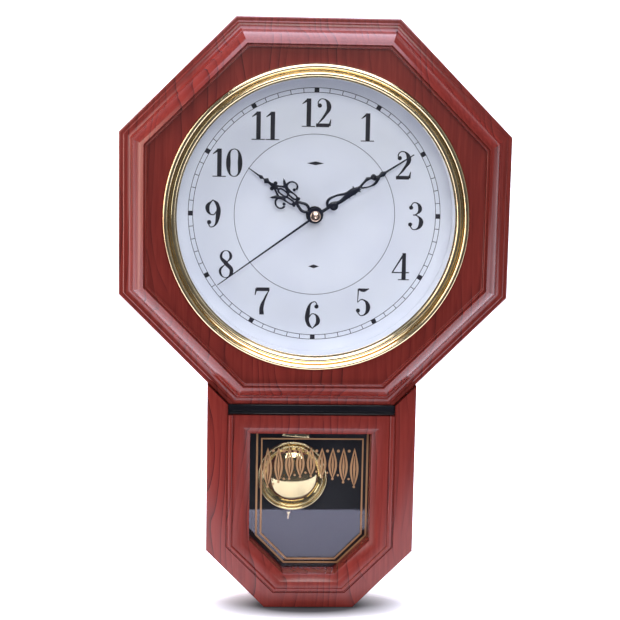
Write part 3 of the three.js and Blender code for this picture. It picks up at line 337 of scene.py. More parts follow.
def math_node(tree, operation, a, b=0.0):
    return add(tree, "Math", {0: a, 1: b}, operation=operation).outputs["Value"]


# %% [markdown]
# The case is moulded ABS with a printed wood-grain film under a clear lacquer. A film has
# no pores, so the grain is only colour: growth rings are the contour lines of a slow noise
# that is stretched upright, each one darkening slowly and ending sharply. The lacquer is
# smooth with a faint ripple, which the eye reads as moulded plastic.

# %% Wood-grain film
RING_SPACING = 7.5


def woodgrain():
    made, tree, shader = finish("woodgrain_film_on_abs", Roughness=0.26, IOR=1.5)
    where = place_of(tree)
    parts = add(tree, "SeparateXYZ", {"Vector": where}).outputs
    across = math_node(tree, "ADD", parts["X"], math_node(tree, "MULTIPLY", parts["Y"], 0.12))
    rings = math_node(tree, "MULTIPLY", across, 1000 / RING_SPACING)
    slow = noise(tree, place_of(tree, (1, 0.6, 0.3)), 34, 1.0, 0.4)
    quick = noise(tree, place_of(tree, (1, 0.6, 0.16)), 6, 1.0, 0.5)
    sway = math_node(tree, "ADD", math_node(tree, "MULTIPLY", slow, 6.0),
                     math_node(tree, "MULTIPLY", quick, 0.3))
    growth = math_node(tree, "FRACT", math_node(tree, "ADD", rings, sway))
    wood = ramp(tree, growth, (0.0, "#812d24"), (0.5, "#782720"), (0.82, "#6a211b"),
                (0.93, "#4e1715"), (0.957, "#2a0c0d"), (0.98, "#3e1212"), (1.0, "#7e2c25"))
    fading = ramp(tree, noise(tree, place_of(tree, (1, 1, 0.2)), 15, 1.0), (0.4, "#101010"),
                  (0.62, "#e4e4e4"))
    plain = ramp(tree, noise(tree, place_of(tree, (1, 1, 0.05)), 2.2, 3.0, 0.6),
                 (0.25, "#651d17"), (0.75, "#802c23"))
    mixed = add(tree, "Mix", {0: fading, 6: plain, 7: wood}, data_type="RGBA")
    tree.links.new(mixed.outputs[2], shader.inputs["Base Color"])
    bump(tree, shader, noise(tree, where, 7, 1.0), 0.05, 0.25)
    return made


WOODGRAIN = woodgrain()
print(WOODGRAIN.name)

# %% [markdown]
# The other plastics are plain mouldings. Their colour wanders by a few shades and their
# skin has a fine spark-eroded texture, which takes the hard edge off every reflection.

# %% Moulded plastics and papers
def moulded(name, dark, light, grain_mm, deep_mm=0.02, **sockets):
    made, tree, shader = finish(name, **{"IOR": 1.5, **sockets})
    where = place_of(tree)
    drift = noise(tree, where, 40)
    tree.links.new(ramp(tree, drift, (0.35, dark), (0.65, light)), shader.inputs["Base Color"])
    bump(tree, shader, noise(tree, where, grain_mm), deep_mm, 0.3)
    return made


BLACK_ABS = moulded("gloss_black_abs", "#101016", "#191921", 1.5, 0.01, Roughness=0.13)
BACK_ABS = moulded("textured_black_abs", "#121214", "#19191c", 0.9, 0.004, Roughness=0.62)
GREY_ABS = moulded("grey_movement_abs", "#2c2d31", "#36373c", 0.8, 0.03, Roughness=0.45)
WHITE_ABS = moulded("white_reflector_abs", "#f0f1f4", "#f8f8fa", 2.0, Roughness=0.35)
GEAR_ACETAL = moulded("white_acetal_gear", "#dedcd2", "#ebe9e1", 2.0, Roughness=0.4, IOR=1.48)
AMBER_ACETAL = moulded("amber_acetal_gear", "#c9923c", "#d9a44c", 2.0, Roughness=0.4, IOR=1.48)
DIAL_PAPER = moulded("satin_dial_paper", "#e9ebf2", "#f0f2f7", 0.6, 0.01, Roughness=0.55, IOR=1.45)
GILT_PRINT = moulded("gold_screen_print", "#a27a55", "#b88e66", 0.8, 0.01, Roughness=0.42,
                     Metallic=0.45)
DIAL_INK = moulded("black_dial_ink", "#16131c", "#221d28", 0.6, 0.01, Roughness=0.5, IOR=1.45)
HAND_PAINT = moulded("blue_black_hand_enamel", "#060a1a", "#0b1026", 1.2, 0.01, Roughness=0.3)
RUBBER = moulded("black_rubber", "#171717", "#202020", 0.6, 0.04, Roughness=0.8)
BOARD = moulded("green_solder_mask", "#174a30", "#1f5a3a", 1.0, Roughness=0.35)
print(BLACK_ABS.name, DIAL_PAPER.name)

# %% [markdown]
# The ring and the pendulum are plastic or thin brass with a vacuum-deposited gold film: a
# mirror whose colour is the metal's own. Metals keep the default IOR, and a slow noise in
# the roughness gives the faint clouds that a wiped mirror film shows.

# %% Metals
DARKER = 0.94  # how far the clouds darken the metal's tone


def metal(name, tone, rough, cloud_mm=18.0, streak=(1, 1, 1), deep_mm=0.01, spread=0.06):
    made, tree, shader = finish(name, Metallic=1.0)
    where = place_of(tree, streak)
    clouds = noise(tree, where, cloud_mm, 3.0)
    shade = math_node(tree, "MULTIPLY_ADD", clouds, spread)
    shade.node.inputs[2].default_value = rough - spread / 2
    tree.links.new(shade, shader.inputs["Roughness"])
    darker = "#" + "".join(f"{int(int(tone[i:i + 2], 16) * DARKER):02x}" for i in (1, 3, 5))
    tree.links.new(ramp(tree, clouds, (0.3, darker), (0.7, tone)), shader.inputs["Base Color"])
    bump(tree, shader, noise(tree, where, cloud_mm / 6), deep_mm, 0.2)
    return made


GILT = metal("vacuum_gilt", "#f1dcb0", 0.13)
BOB_GILT = metal("polished_gilt_brass", "#ead6a6", 0.06, 12.0)
BRASS = metal("lacquered_brass", "#cfa651", 0.22, 8.0)
CAP_GILT = metal("copper_gilt_cap", "#e6c6ae", 0.16, 4.0)
STEEL = metal("zinc_plated_steel", "#b9bdc2", 0.34, 3.0, (1, 1, 1), 0.02, 0.14)
FERRITE = metal("sintered_ferrite", "#46484d", 0.5, 1.0, (1, 1, 1), 0.05, 0.1)
COPPER = metal("enamelled_copper_wire", "#b8693c", 0.3, 0.5, (1, 1, 6), 0.08, 0.1)
CELL_JACKET = metal("printed_cell_jacket", "#8fa6bd", 0.3, 20.0)
print(GILT.name, BOB_GILT.name)


# %% [markdown]
# Clear glass lets most light straight through and mirrors a little, more at a slant. A
# thin pane bends nothing that matters here, so it is a mix of a clear and a mirror shader,
# weighed by how the surface faces the eye. The light behind it then stays bright.

# %% Glass
def glass(name, tint, mirror, gleam="#ffffff"):
    made = bpy.data.materials.new(name)
    made.use_nodes = True
    tree = made.node_tree
    tree.nodes.clear()
    facing = add(tree, "LayerWeight", {"Blend": 0.5}).outputs["Facing"]
    slant = math_node(tree, "POWER", facing, 5.0)
    smear = noise(tree, place_of(tree), 60)
    share = add(tree, "MapRange", {"Value": slant, "To Min": mirror, "To Max": 1.0})
    clear = add(tree, "BsdfTransparent", {"Color": colour(tint)})
    shine = add(tree, "BsdfGlossy", {"Color": colour(gleam),
                                     "Roughness": math_node(tree, "MULTIPLY", smear, 0.02)})
    mix = add(tree, "MixShader", {0: share.outputs[0], 1: clear.outputs[0], 2: shine.outputs[0]})
    add(tree, "OutputMaterial", {"Surface": mix.outputs[0]})
    return made


LENS_GLASS = glass("clear_lens_glass", "#fbfcfd", 0.012)
PANE_GLASS = glass("clear_window_glass", "#f6f7f8", 0.046, "#e2e1f6")
print(LENS_GLASS.name)

# %% [markdown]
# ## The head
# The head is one moulding: an outer band, a small bead, a cove, a broad slope and a flat
# panel round the dial. It could be modelled as eight mitred lengths, but the profile turned
# in eight steps mitres itself. Distances are from the middle of a flat side, so an octagon
# of that size has corners further out by one over the cosine of 22.5 degrees.

# %% The head's profile
half = span("head_frame")[1]
OCTAGON = 1 / cos(pi / 8)
EIGHTH = pi / 8
EDGE, WALL = 48.0, 3.0
COVE_START, COVE_DEPTH = half - 5.2, EDGE + 1.4
SWELL_START, SWELL_DEPTH = COVE_START - 5.8, COVE_DEPTH + 7.3
CREST, CREST_DEPTH = SWELL_START - 9.0, SWELL_DEPTH + 13.0
PANEL = CREST_DEPTH - 4.5
LENS_HOLE = span("dial_lens")[1] + 0.3
CORE = 100.0  # the panel reaches in to here before its bore is cut


def head_profile():
    cove = arc(COVE_START, SWELL_DEPTH, -5.8, -7.3, 10, 90, 0)
    run, climb, belly = SWELL_START - CREST, CREST_DEPTH - SWELL_DEPTH - 0.6, 1.1
    shares = [i / 12 for i in range(13)]
    swell = [[SWELL_START - run * t + belly * sin(pi * t) * 0.82,
              SWELL_DEPTH + climb * t + belly * sin(pi * t) * 0.57] for t in shares]
    swell += [[CREST - 0.15, CREST_DEPTH - 0.15], [CREST - 0.35, CREST_DEPTH]]
    return [
        [half, 0.3], [half, EDGE - 1.6], [half - 0.15, EDGE - 0.9], [half - 0.5, EDGE - 0.35],
        [half - 1.1, EDGE], [half - 3.4, EDGE], [half - 3.7, EDGE + 0.2], [half - 3.9, COVE_DEPTH - 0.4],
        [half - 4.3, COVE_DEPTH], [COVE_START + 0.2, COVE_DEPTH], *cove,
        [SWELL_START - 0.3, SWELL_DEPTH + 0.2], *swell[1:], [CREST - 0.6, CREST_DEPTH - 0.15],
        [CREST - 0.8, CREST_DEPTH - 0.8],
        [CREST - 1.0, CREST_DEPTH - 1.5], [CREST - 1.6, CREST_DEPTH - 1.5], [CREST - 1.8, CREST_DEPTH - 0.9],
        [CREST - 2.1, CREST_DEPTH - 0.7], [CREST - 2.6, CREST_DEPTH - 0.7], [CREST - 2.9, CREST_DEPTH - 1.0],
        [CREST - 3.1, PANEL + 0.3], [CREST - 3.5, PANEL], [CORE, PANEL], [CORE, PANEL - WALL],
        [CREST - WALL, PANEL - WALL], [SWELL_START - WALL, SWELL_DEPTH], [half - 7.4, EDGE - 1.5],
        [half - WALL, EDGE - WALL], [half - WALL, 0.3],
    ]


print("head profile", len(head_profile()), "points")

# %% The head's moulding
trim = span("trim_bar")
GAP = 0.3  # play round the black strip in its rebate


def head():
    around = [[apothem * OCTAGON, depth] for apothem, depth in head_profile()]
    body = turned("head_moulding", around, segments=8, phase=EIGHTH, ring=True)
    bore = turned("bore", [[LENS_HOLE, PANEL - 9], [LENS_HOLE, PANEL + 9]], segments=160)
    way = block("way", -60, 60, -2, 44, -half - 2, -half + 3.5)
    rebate = block("rebate", trim[0] - GAP, trim[1] + GAP, trim[2] - GAP, EDGE + 9, -half - 2,
                   trim[5] + GAP)
    return settle(carve(body, bore, way, rebate), WOODGRAIN, "case", "woodgrain", "head_frame")


head()

# %% [markdown]
# ## The drop
# The drop's face is one moulding too: a rounded outer edge, a flat, a groove and a bead
# that follow the rails, a fine groove, then a gentle slope and a steep rim round the
# window, and the walls that run back to the pane.

# %% The drop's outlines
drop = span("drop_frame")
pane = span("window_glass")
DROP_HALF, DROP_LOW, DROP_FRONT = drop[1], drop[4], 53.0
DROP_CHAMFER, WINDOW_CHAMFER, LAP = 47.7, 28.0, 4.0
WINDOW_HALF, WINDOW_LOW, WINDOW_TOP = pane[1] - LAP, pane[4] + LAP, pane[5] - LAP
CHAMFER_CHANGE = 2 - sqrt(2)


def drop_outline(side, low_edge, chamfer, top):
    return [(-side, top), (-side, low_edge + chamfer), (-side + chamfer, low_edge),
            (side - chamfer, low_edge), (side, low_edge + chamfer), (side, top)]


def inset(by, top):
    return drop_outline(DROP_HALF - by, DROP_LOW + by, DROP_CHAMFER - by * CHAMFER_CHANGE, top)


def outset(by):
    return drop_outline(WINDOW_HALF + by, WINDOW_LOW - by, WINDOW_CHAMFER + by * CHAMFER_CHANGE,
                        WINDOW_TOP + by)


def along_rail(share, top):
    """The line that lies `share` of the way from the drop's outer edge to the window."""
    mixed = [a + (b - a) * share for a, b in
             ((DROP_HALF, WINDOW_HALF), (DROP_LOW, WINDOW_LOW), (DROP_CHAMFER, WINDOW_CHAMFER))]
    return drop_outline(*mixed, top)


print("window half width", round(WINDOW_HALF, 2))


# %% The drop's moulding
DROP_WALL = 6.5  # thick enough that no light passes between the wall and the back cover
SLOPE_WIDE, SLOPE_DEEP, RIM_WIDE = 13.3, 1.5, 5.4
PANE_SEAT, WALL_FOOT = 29.3, 4.5


def drop_loops():
    top, face = trim[4] + 9, DROP_FRONT
    tucked = drop[5]
    loops = [(inset(0, tucked), 0.3), (inset(0, tucked), face - 1.3)]
    loops += [(inset(0.15, tucked), face - 0.7), (inset(0.5, tucked), face - 0.2), (inset(1.2, tucked), face)]
    steps = [(0.455, 0), (0.462, -0.35), (0.468, -1.1), (0.483, -1.1), (0.489, -0.5), (0.497, 0.0),
             (0.505, 0.45), (0.515, 0.75), (0.53, 0.85), (0.56, 0.85), (0.575, 0.75), (0.586, 0.4),
             (0.594, 0.05), (0.599, -0.3), (0.603, -0.6), (0.611, -0.6), (0.615, -0.25), (0.621, 0)]
    loops += [(along_rail(share, top), face + rise) for share, rise in steps]
    rim = face - SLOPE_DEEP * (1 - RIM_WIDE / SLOPE_WIDE)
    loops += [(along_rail(0.625, WINDOW_TOP + SLOPE_WIDE), face)]
    loops += [(outset(5.7), rim - 0.02), (outset(5.2), rim - 0.25)]
    loops += [(outset(0.5), rim - 3.7), (outset(0.1), rim - 4.1), (outset(0), rim - 4.6)]
    loops += [(outset(0), PANE_SEAT), (outset(2.5), PANE_SEAT), (outset(2.5), face - 4)]
    loops += [(inset(DROP_WALL, tucked - 1), face - 4), (inset(DROP_WALL, tucked - 1), WALL_FOOT)]
    return loops + [(inset(WALL, tucked - 1), WALL_FOOT), (inset(WALL, tucked - 1), 0.3)]


def drop_case():
    body = outlined("drop_moulding", drop_loops(), ring=True)
    shadow = turned("head_space", [[(half + 0.1) * OCTAGON, -2], [(half + 0.1) * OCTAGON, 60]],
                    segments=8, phase=EIGHTH)
    rebate = block("rebate", trim[0] - GAP, trim[1] + GAP, trim[2] - GAP, 60, trim[4] - GAP, trim[5] + 5)
    return settle(carve(body, shadow, rebate), WOODGRAIN, "case", "woodgrain", "drop_frame")


drop_case()

# %% [markdown]
# A gloss black strip covers the joint between head and drop. Its ends are cut at a slant
# and a thin lip runs along its lower edge, where it catches a line of light.

# %% The black strip
def black_strip():
    x, rear, front, low_edge, top = trim[1], trim[2], trim[3] - 0.8, trim[4], trim[5]
    strip = block("black_strip", -x, x, rear, front, low_edge, top, 0.35)
    groove = block("groove", -x - 1, x + 1, front - 0.5, front + 2, low_edge + 2.2, low_edge + 2.9, 0.2)
    lip = block("lip", -x + 1, x - 1, rear + 0.5, trim[3], low_edge + 0.05, low_edge + 1.05, 0.3)
    return settle(carve(carve(strip, groove), lip, operation="UNION"), BLACK_ABS, "case",
                  "black_plastic", "trim_bar")


black_strip()

# %% [markdown]
# ## The gilt ring, the glass and the white reflector
# The ring is a turned section with two rolls and a hollow between them. Its lens sits in a
# rebate behind it, and a white ring with a step behind the lens hides the dial's edge.

# %% The ring and the reflector
ring_box, lens_box, flange = span("bezel_ring"), span("dial_lens"), span("reflector_ring")
RING_BORE = 109.0


def gilt_ring():
    outer, inner, seat, front = ring_box[1], RING_BORE, PANEL + 0.3, ring_box[3]
    big = arc(outer - 2.5, seat + 1.2, 2.5, front - seat - 1.2, 16, 0, 180)
    small = arc(inner + 3.1, seat + 0.6, 2.1, front - seat - 2.6, 12, 0, 180)
    profile = [[outer, seat]] + big + [[outer - 5.4, seat + 0.7], [outer - 6.1, seat + 0.5]] + small
    profile += [[inner + 0.9, seat - 0.2], [inner + 0.2, seat - 0.3], [inner, seat - 0.6]]
    profile += [[inner, lens_box[3] + 0.3], [LENS_HOLE - 0.2, lens_box[3] + 0.3], [LENS_HOLE - 0.2, seat]]
    ring = turned("gilt_ring", profile, segments=192, ring=True)
    return settle(ring, GILT, "case", "gilt", "bezel_ring")


def reflector():
    bore, outer, rear, front = RING_BORE, flange[1], flange[2], flange[3]
    profile = [[bore + 1.2, rear], [bore + 1.5, rear], [bore + 1.5, front - 2.4], [outer, front - 2.4],
               [outer, front], [bore + 2.6, front], *arc(bore + 2.6, front - 2.2, -2.4, 2.2, 8, 90, 0)]
    ring = turned("white_reflector", profile, segments=160, ring=True)
    return settle(ring, WHITE_ABS, "case", "reflector_white", "reflector_ring")


gilt_ring()
reflector()

# %% [markdown]
# ## The dial's print
# The dial is a disc of satin paper with its figures printed in black. Printing has almost
# no thickness, yet raised a few hundredths of a millimetre it is a shape of its own. A pen
# stroke is a curve whose radius grows and shrinks along it, flattened once it is a mesh:
# the figures have thick stems, hairlines and round ends, as old book types do.

# %% A stroke of varying width
def stroke(name, points, depth, thick, closed=False, straight=False, turn=None):
    """`points` are (x, z, half width) in millimetres. The result is `thick` deep at most."""
    nothing_selected()
    bpy.ops.curve.primitive_bezier_curve_add(location=(0, 0, 0))
    piece = bpy.context.object
    piece.name = name
    line = piece.data
    line.dimensions, line.twist_mode, line.use_fill_caps = "3D", "Z_UP", True
    line.bevel_depth, line.bevel_resolution = MM, 1
    line.resolution_u = 1 if straight else 6
    spline = line.splines[0]
    spline.bezier_points.add(len(points) - 2)
    spline.use_cyclic_u = closed
    spline.radius_interpolation = "LINEAR" if straight else "EASE"
    for knot, (x, z, width) in zip(spline.bezier_points, points):
        knot.co = (x * MM, z * MM, 0)
        knot.radius = width
        knot.handle_left_type = knot.handle_right_type = "VECTOR" if straight else "AUTO"
    bpy.ops.object.convert(target="MESH")
    widest = max(width for *_, width in points)
    flat = Matrix.Diagonal((1, 1, thick / 2 / widest, 1))
    stand = Matrix.Translation(at(0, depth, 0)) @ (turn or Matrix()) @ Matrix.Rotation(pi / 2, 4, "X")
    piece.data.transform(stand @ flat)
    return piece


def dot(name, x, z, radius, depth, thick, turn=None):
    """A round blob: a tight closed stroke whose middle is filled."""
    r = radius / 2
    knots = [(x + r * cos(a), z + r * sin(a), r * 1.02) for a in
             (radians(90 * i) for i in range(4))]
    return stroke(name, knots, depth, thick, closed=True, turn=turn)


# %% [markdown]
# Each figure is drawn in a box one unit high. A point is its place and its weight, from 0
# for a hairline to 1 for a full stem, and a figure is a few such strokes with round dots.

# %% The figures
dial = span("dial_plate")
INK_DEPTH, INK_THICK = dial[3] + 0.03, 0.08
ON_DIAL = (INK_DEPTH, INK_THICK)
STEM, HAIR = 0.082, 0.014
FIGURES = {
    "0": {"loops": [[(0.29, 0.985, 0.0), (0.085, 0.5, 1.0), (0.29, 0.015, 0.0), (0.495, 0.5, 1.0)]]},
    "1": {"lines": [[(0.27, 0.0, 0.95), (0.27, 0.99, 0.95)], [(0.03, 0.015, 0.05), (0.50, 0.015, 0.05)],
            [(0.04, 0.80, 0.0), (0.24, 0.95, 0.5)]]},
    "2": {"curves": [[(0.12, 0.74, 0.1), (0.10, 0.88, 0.1), (0.27, 0.985, 0.05), (0.475, 0.73, 1.0),
            (0.33, 0.40, 0.45), (0.05, 0.06, 0.0)]],
        "lines": [[(0.03, 0.06, 0.75), (0.50, 0.06, 0.75)], [(0.50, 0.04, 0.5), (0.55, 0.27, 0.0)]],
        "dots": [(0.15, 0.75, 0.075)]},
    "3": {"curves": [[(0.08, 0.82, 0.1), (0.25, 0.985, 0.05), (0.44, 0.76, 0.85), (0.30, 0.56, 0.1),
            (0.19, 0.54, 0.0)],
            [(0.20, 0.535, 0.0), (0.33, 0.52, 0.1), (0.49, 0.27, 1.0), (0.25, 0.015, 0.05),
            (0.06, 0.19, 0.1)]],
        "dots": [(0.12, 0.80, 0.072), (0.10, 0.20, 0.072)]},
    "4": {"lines": [[(0.44, 0.0, 0.95), (0.44, 0.97, 0.75)], [(0.44, 0.95, 0.3), (0.02, 0.26, 0.1)],
            [(0.01, 0.27, 0.1), (0.63, 0.27, 0.1)], [(0.24, 0.015, 0.05), (0.63, 0.015, 0.05)]]},
    "5": {"curves": [[(0.12, 0.97, 0.4), (0.29, 0.935, 0.75), (0.49, 0.99, 0.1)],
            [(0.09, 0.50, 0.0), (0.25, 0.60, 0.1), (0.47, 0.32, 1.0), (0.25, 0.015, 0.05),
            (0.06, 0.18, 0.1)]],
        "lines": [[(0.11, 0.99, 0.15), (0.09, 0.49, 0.0)]], "dots": [(0.11, 0.20, 0.075)]},
    "6": {"curves": [[(0.46, 0.84, 0.1), (0.34, 0.985, 0.05), (0.10, 0.50, 1.0), (0.14, 0.17, 0.7),
            (0.29, 0.015, 0.05)],
            [(0.29, 0.015, 0.05), (0.485, 0.29, 0.9), (0.30, 0.55, 0.05), (0.14, 0.40, 0.1)]],
        "dots": [(0.42, 0.81, 0.075)]},
    "7": {"lines": [[(0.06, 0.93, 0.75), (0.53, 0.93, 0.75)], [(0.07, 0.96, 0.4), (0.02, 0.72, 0.0)]],
        "curves": [[(0.53, 0.93, 0.0), (0.37, 0.60, 0.35), (0.26, 0.28, 0.85), (0.26, 0.02, 1.0)]]},
    "8": {"loops": [[(0.29, 0.985, 0.0), (0.11, 0.79, 0.45), (0.29, 0.53, 0.85), (0.49, 0.25, 0.8),
            (0.29, 0.015, 0.0), (0.08, 0.24, 0.45), (0.29, 0.53, 0.0), (0.46, 0.79, 0.55)]]},
}
ADVANCE = {"1": 0.50, "4": 0.66}


def weight(share, height):
    return (HAIR + (STEM - HAIR) * share) * height


def figure(digit, x, z, height, upside=False):
    """One figure with its lower left corner at (x, z). A nine is a six turned half round."""
    width = ADVANCE.get(digit, 0.58)

    def put(px, pz):
        px, pz = (width - px, 1 - pz) if upside else (px, pz)
        return x + px * height, z + pz * height

    made = []
    for kind, settings in (("loops", {"closed": True}), ("curves", {}), ("lines", {"straight": True})):
        for path in FIGURES[digit].get(kind, []):
            knots = [(*put(px, pz), weight(w, height)) for px, pz, w in path]
            made.append(stroke("figure", knots, *ON_DIAL, **settings))
    for px, pz, radius in FIGURES[digit].get("dots", []):
        made.append(dot("dot", *put(px, pz), radius * height, *ON_DIAL))
    return made


def numeral(text, x, z, height):
    widths = [ADVANCE.get(c, 0.58) * height for c in text]
    left, made = x - sum(widths) / 2, []
    for character, width in zip(text, widths):
        six = character == "9"
        made += figure("6" if six else character, left, z - height / 2, height, six)
        left += width
    return made


print("figures", "".join(FIGURES))

# %% [markdown]
# The minute track is two fine circles with a tick at each minute and a block at each fifth
# one. The numbers stand upright on their own circle, and a fine ring closes the middle.
# Where a maker would print a name, two plain diamonds stand instead.

# %% Printing the dial
TRACK_IN, TRACK_OUT, TRACK_LINE = 97.0, 100.6, 0.45
BLOCK_WIDE, TICK_WIDE = 1.9, 0.26
NUMBER_CIRCLE, NUMBER_HIGH = 81, 22.5
INNER_CIRCLE, INNER_LINE = 64.1, 0.4
DIAMONDS = ((41.0, 6.5), (-41.5, 4.2))  # height above the middle, and reach to each side


def circle_line(radius, wide):
    edge = [[radius - wide / 2, INK_DEPTH], [radius + wide / 2, INK_DEPTH],
            [radius + wide / 2, INK_DEPTH + 0.04], [radius - wide / 2, INK_DEPTH + 0.04]]
    return turned("circle", edge, segments=180, ring=True)


def dial_print():
    made = [circle_line(TRACK_IN, TRACK_LINE), circle_line(TRACK_OUT, TRACK_LINE),
            circle_line(INNER_CIRCLE, INNER_LINE)]
    for minute in range(60):
        angle = radians(6 * minute)
        wide = BLOCK_WIDE if minute % 5 == 0 else TICK_WIDE
        ends = [(r * sin(angle), r * cos(angle), wide) for r in (TRACK_IN, TRACK_OUT)]
        made.append(stroke("tick", ends, *ON_DIAL, straight=True))
    for hour in range(1, 13):
        angle = radians(30 * hour)
        made += numeral(str(hour), NUMBER_CIRCLE * sin(angle), NUMBER_CIRCLE * cos(angle), NUMBER_HIGH)
    for z, reach in DIAMONDS:
        made.append(stroke("diamond", [(-reach, z, 0.12), (0, z, 1.5), (reach, z, 0.12)], *ON_DIAL,
                           straight=True))
    return settle(gather("dial_print", made), DIAL_INK, "case", "hand_black")


dial_print()

# %% [markdown]
# ## The hands
# The hands are stamped from thin sheet with pierced scrollwork. Each is drawn like the
# figures, with strokes that swell and taper: first in its own frame, along the hand and
# across it, then turned to the hour. A left and right pair is one path drawn twice.

# %% Drawing a hand
PEN = 1.22  # how much the enamel thickens each drawn stroke


def drawn_hand(name, angle, depth, thick, strokes, dots, bore, boss):
    """Paths are (along, across, half width); across is to the clockwise side."""
    turn = Matrix.Rotation(radians(angle), 4, "Y")
    made = []
    for kind, path in strokes:
        knots = [(across, along, wide * PEN) for along, across, wide in path]
        made.append(stroke("part", knots, depth, thick, closed=kind == "loop", straight=kind == "line",
                           turn=turn))
    for along, across, radius in dots:
        made.append(dot("knob", across, along, radius, depth, thick, turn=turn))
    rear, front = depth - thick / 2, depth + thick / 2
    made.append(turned("boss", [[bore, rear], [boss, rear], [boss, front - 0.15], [boss - 0.15, front],
                                [bore, front]], segments=64, ring=True))
    return gather(name, made)


def both(paths):
    """Each path with its mirror image across the hand."""
    return paths + [(kind, [(s, -t, w) for s, t, w in path]) for kind, path in paths]


HOUR_PAIRS = [
    ("curve", [(5.5, 0.9, 0.9), (10.5, 3.0, 0.95), (14.6, 1.9, 0.9), (18.2, 0.3, 1.0)]),
    ("loop", [(19.6, 2.2, 0.65), (23.8, 4.2, 0.5), (27.6, 2.4, 0.6), (23.8, 0.9, 0.6)]),
    ("curve", [(27.6, 2.5, 0.6), (30.4, 3.9, 0.8), (33.2, 5.6, 1.15), (35.6, 7.7, 0.8), (37.6, 9.4, 0.12)]),
    ("curve", [(32.4, 5.4, 0.9), (31.8, 9.6, 0.6), (28.2, 11.9, 0.5), (24.8, 10.6, 0.6), (24.0, 7.9, 0.7)]),
    ("curve", [(25.0, 4.2, 0.6), (29.0, 4.4, 0.7), (32.0, 5.4, 0.9)]),
    ("curve", [(32.6, 4.6, 0.8), (36.4, 2.5, 0.6), (39.6, 0.6, 0.9)]),
]
HOUR_MIDDLE = [
    ("line", [(18.4, -3.0, 0.9), (18.4, 3.0, 0.9)]),
    ("loop", [(26.8, 0, 0.7), (31.0, 1.9, 0.55), (35.6, 0, 0.7), (31.0, -1.9, 0.55)]),
    ("line", [(35.2, 0, 0.8), (45.4, 0, 0.9), (47.6, 0, 2.1), (49.6, 0, 0.5), (50.6, 0, 0.5),
              (52.4, 0, 1.25), (54.6, 0, 0.55), (65.0, 0, 0.28)]),
    ("line", [(40.4, -2.2, 1.0), (40.4, 2.2, 1.0)]),
]
HOUR_DOTS = [(18.4, 3.2, 1.3), (18.4, -3.2, 1.3), (25.3, 6.9, 1.25), (25.3, -6.9, 1.25),
             (40.4, 2.5, 1.6), (40.4, -2.5, 1.6), (42.0, 0, 1.5)]
MINUTE_STROKES = [
    ("line", [(5.0, 0, 1.1), (12.5, 0, 0.95)]),
    ("curve", [(12.0, -0.4, 0.9), (14.6, -4.8, 0.95), (22.0, -5.0, 0.7), (29.6, -2.4, 0.9),
               (36.0, -1.4, 1.6)]),
    ("curve", [(12.0, 0.2, 0.9), (15.6, -0.6, 1.6), (22.4, 0.9, 1.2), (29.0, 0.2, 1.6), (36.0, -0.4, 2.1),
               (42.0, -0.2, 1.3)]),
    ("line", [(29.6, -1.2, 1.5), (30.8, 2.8, 0.2)]), ("line", [(34.8, -1.0, 1.5), (35.9, 2.9, 0.2)]),
    ("line", [(36.2, 0.2, 1.7), (37.8, -4.4, 0.2)]), ("line", [(39.4, -0.4, 1.4), (40.4, 2.9, 0.2)]),
    ("line", [(42.4, -0.2, 1.2), (44.0, -1.4, 0.5)]),
    ("curve", [(41.6, -0.6, 0.8), (47.6, -2.4, 0.75), (50.6, -3.0, 1.1), (53.4, -2.2, 0.8),
               (56.0, -1.4, 1.0)]),
    ("line", [(49.6, -2.6, 0.9), (50.6, -4.9, 0.15)]),
    ("curve", [(42.4, 0.4, 0.6), (48.8, 2.9, 0.5), (54.2, 3.0, 0.9), (58.0, 0.9, 1.2), (60.4, 0, 0.8)]),
    ("line", [(57.0, 0, 1.6), (59.6, 0, 0.9), (62.9, 0, 1.9), (66.0, 0, 0.7), (92.0, 0, 0.36)]),
]
MINUTE_DOTS = [(16.6, 1.2, 3.5), (55.4, -1.9, 2.3), (55.2, -0.2, 1.4)]

# %% Making the three hands
NEEDLE = [("line", [(-3, 0, 0.7), (0, 0, 0.75), (94.9, 0, 0.3)])]
HANDS = {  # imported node: body, name, degrees past twelve, sheet, strokes, dots, bore and boss
    "hour_hand": ("hours", "hour_scroll_hand", 304.8, 0.75, both(HOUR_PAIRS) + HOUR_MIDDLE,
                  HOUR_DOTS, 3.1, 6.4),
    "minute_hand": ("minutes", "minute_scroll_hand", 57.4, 0.75, MINUTE_STROKES, MINUTE_DOTS, 1.9, 6.0),
    "second_hand": ("seconds", "second_needle", 234, 0.4, NEEDLE, [], 0.85, 3.0),
}
for hand_node, (hand_body, hand_name, degrees_past, sheet, *drawing) in HANDS.items():
    hand_rear, hand_front = span(hand_node)[2:4]
    hand = drawn_hand(hand_name, degrees_past, (hand_rear + hand_front) / 2, sheet, *drawing)
    settle(hand, HAND_PAINT, hand_body, "hand_black", hand_node)


def cap():
    rear, front = span("hand_cap")[2:4]
    dish = arc(0, front - 1.3, 4.15, 1.3, 10, 0, 80)
    profile = [[3.6, rear], [4.15, rear + 0.3], *dish[:-2], [1.5, front - 0.1], [1.1, front - 0.45],
               [0, front - 0.8]]
    return settle(turned("hand_cap_dome", profile, segments=64), CAP_GILT, "seconds", "gilt", "hand_cap")


cap()

# %% [markdown]
# ## The pane's gold print
# A double gold line follows the window, screen-printed on the pane's front, and its two
# uprights run up behind the rail. Between them, where a maker would print a word, stands a
# plain row of pointed leaves whose feet follow an arch. The lines are the same strokes as
# the figures, so they keep one width round the mitred corners.

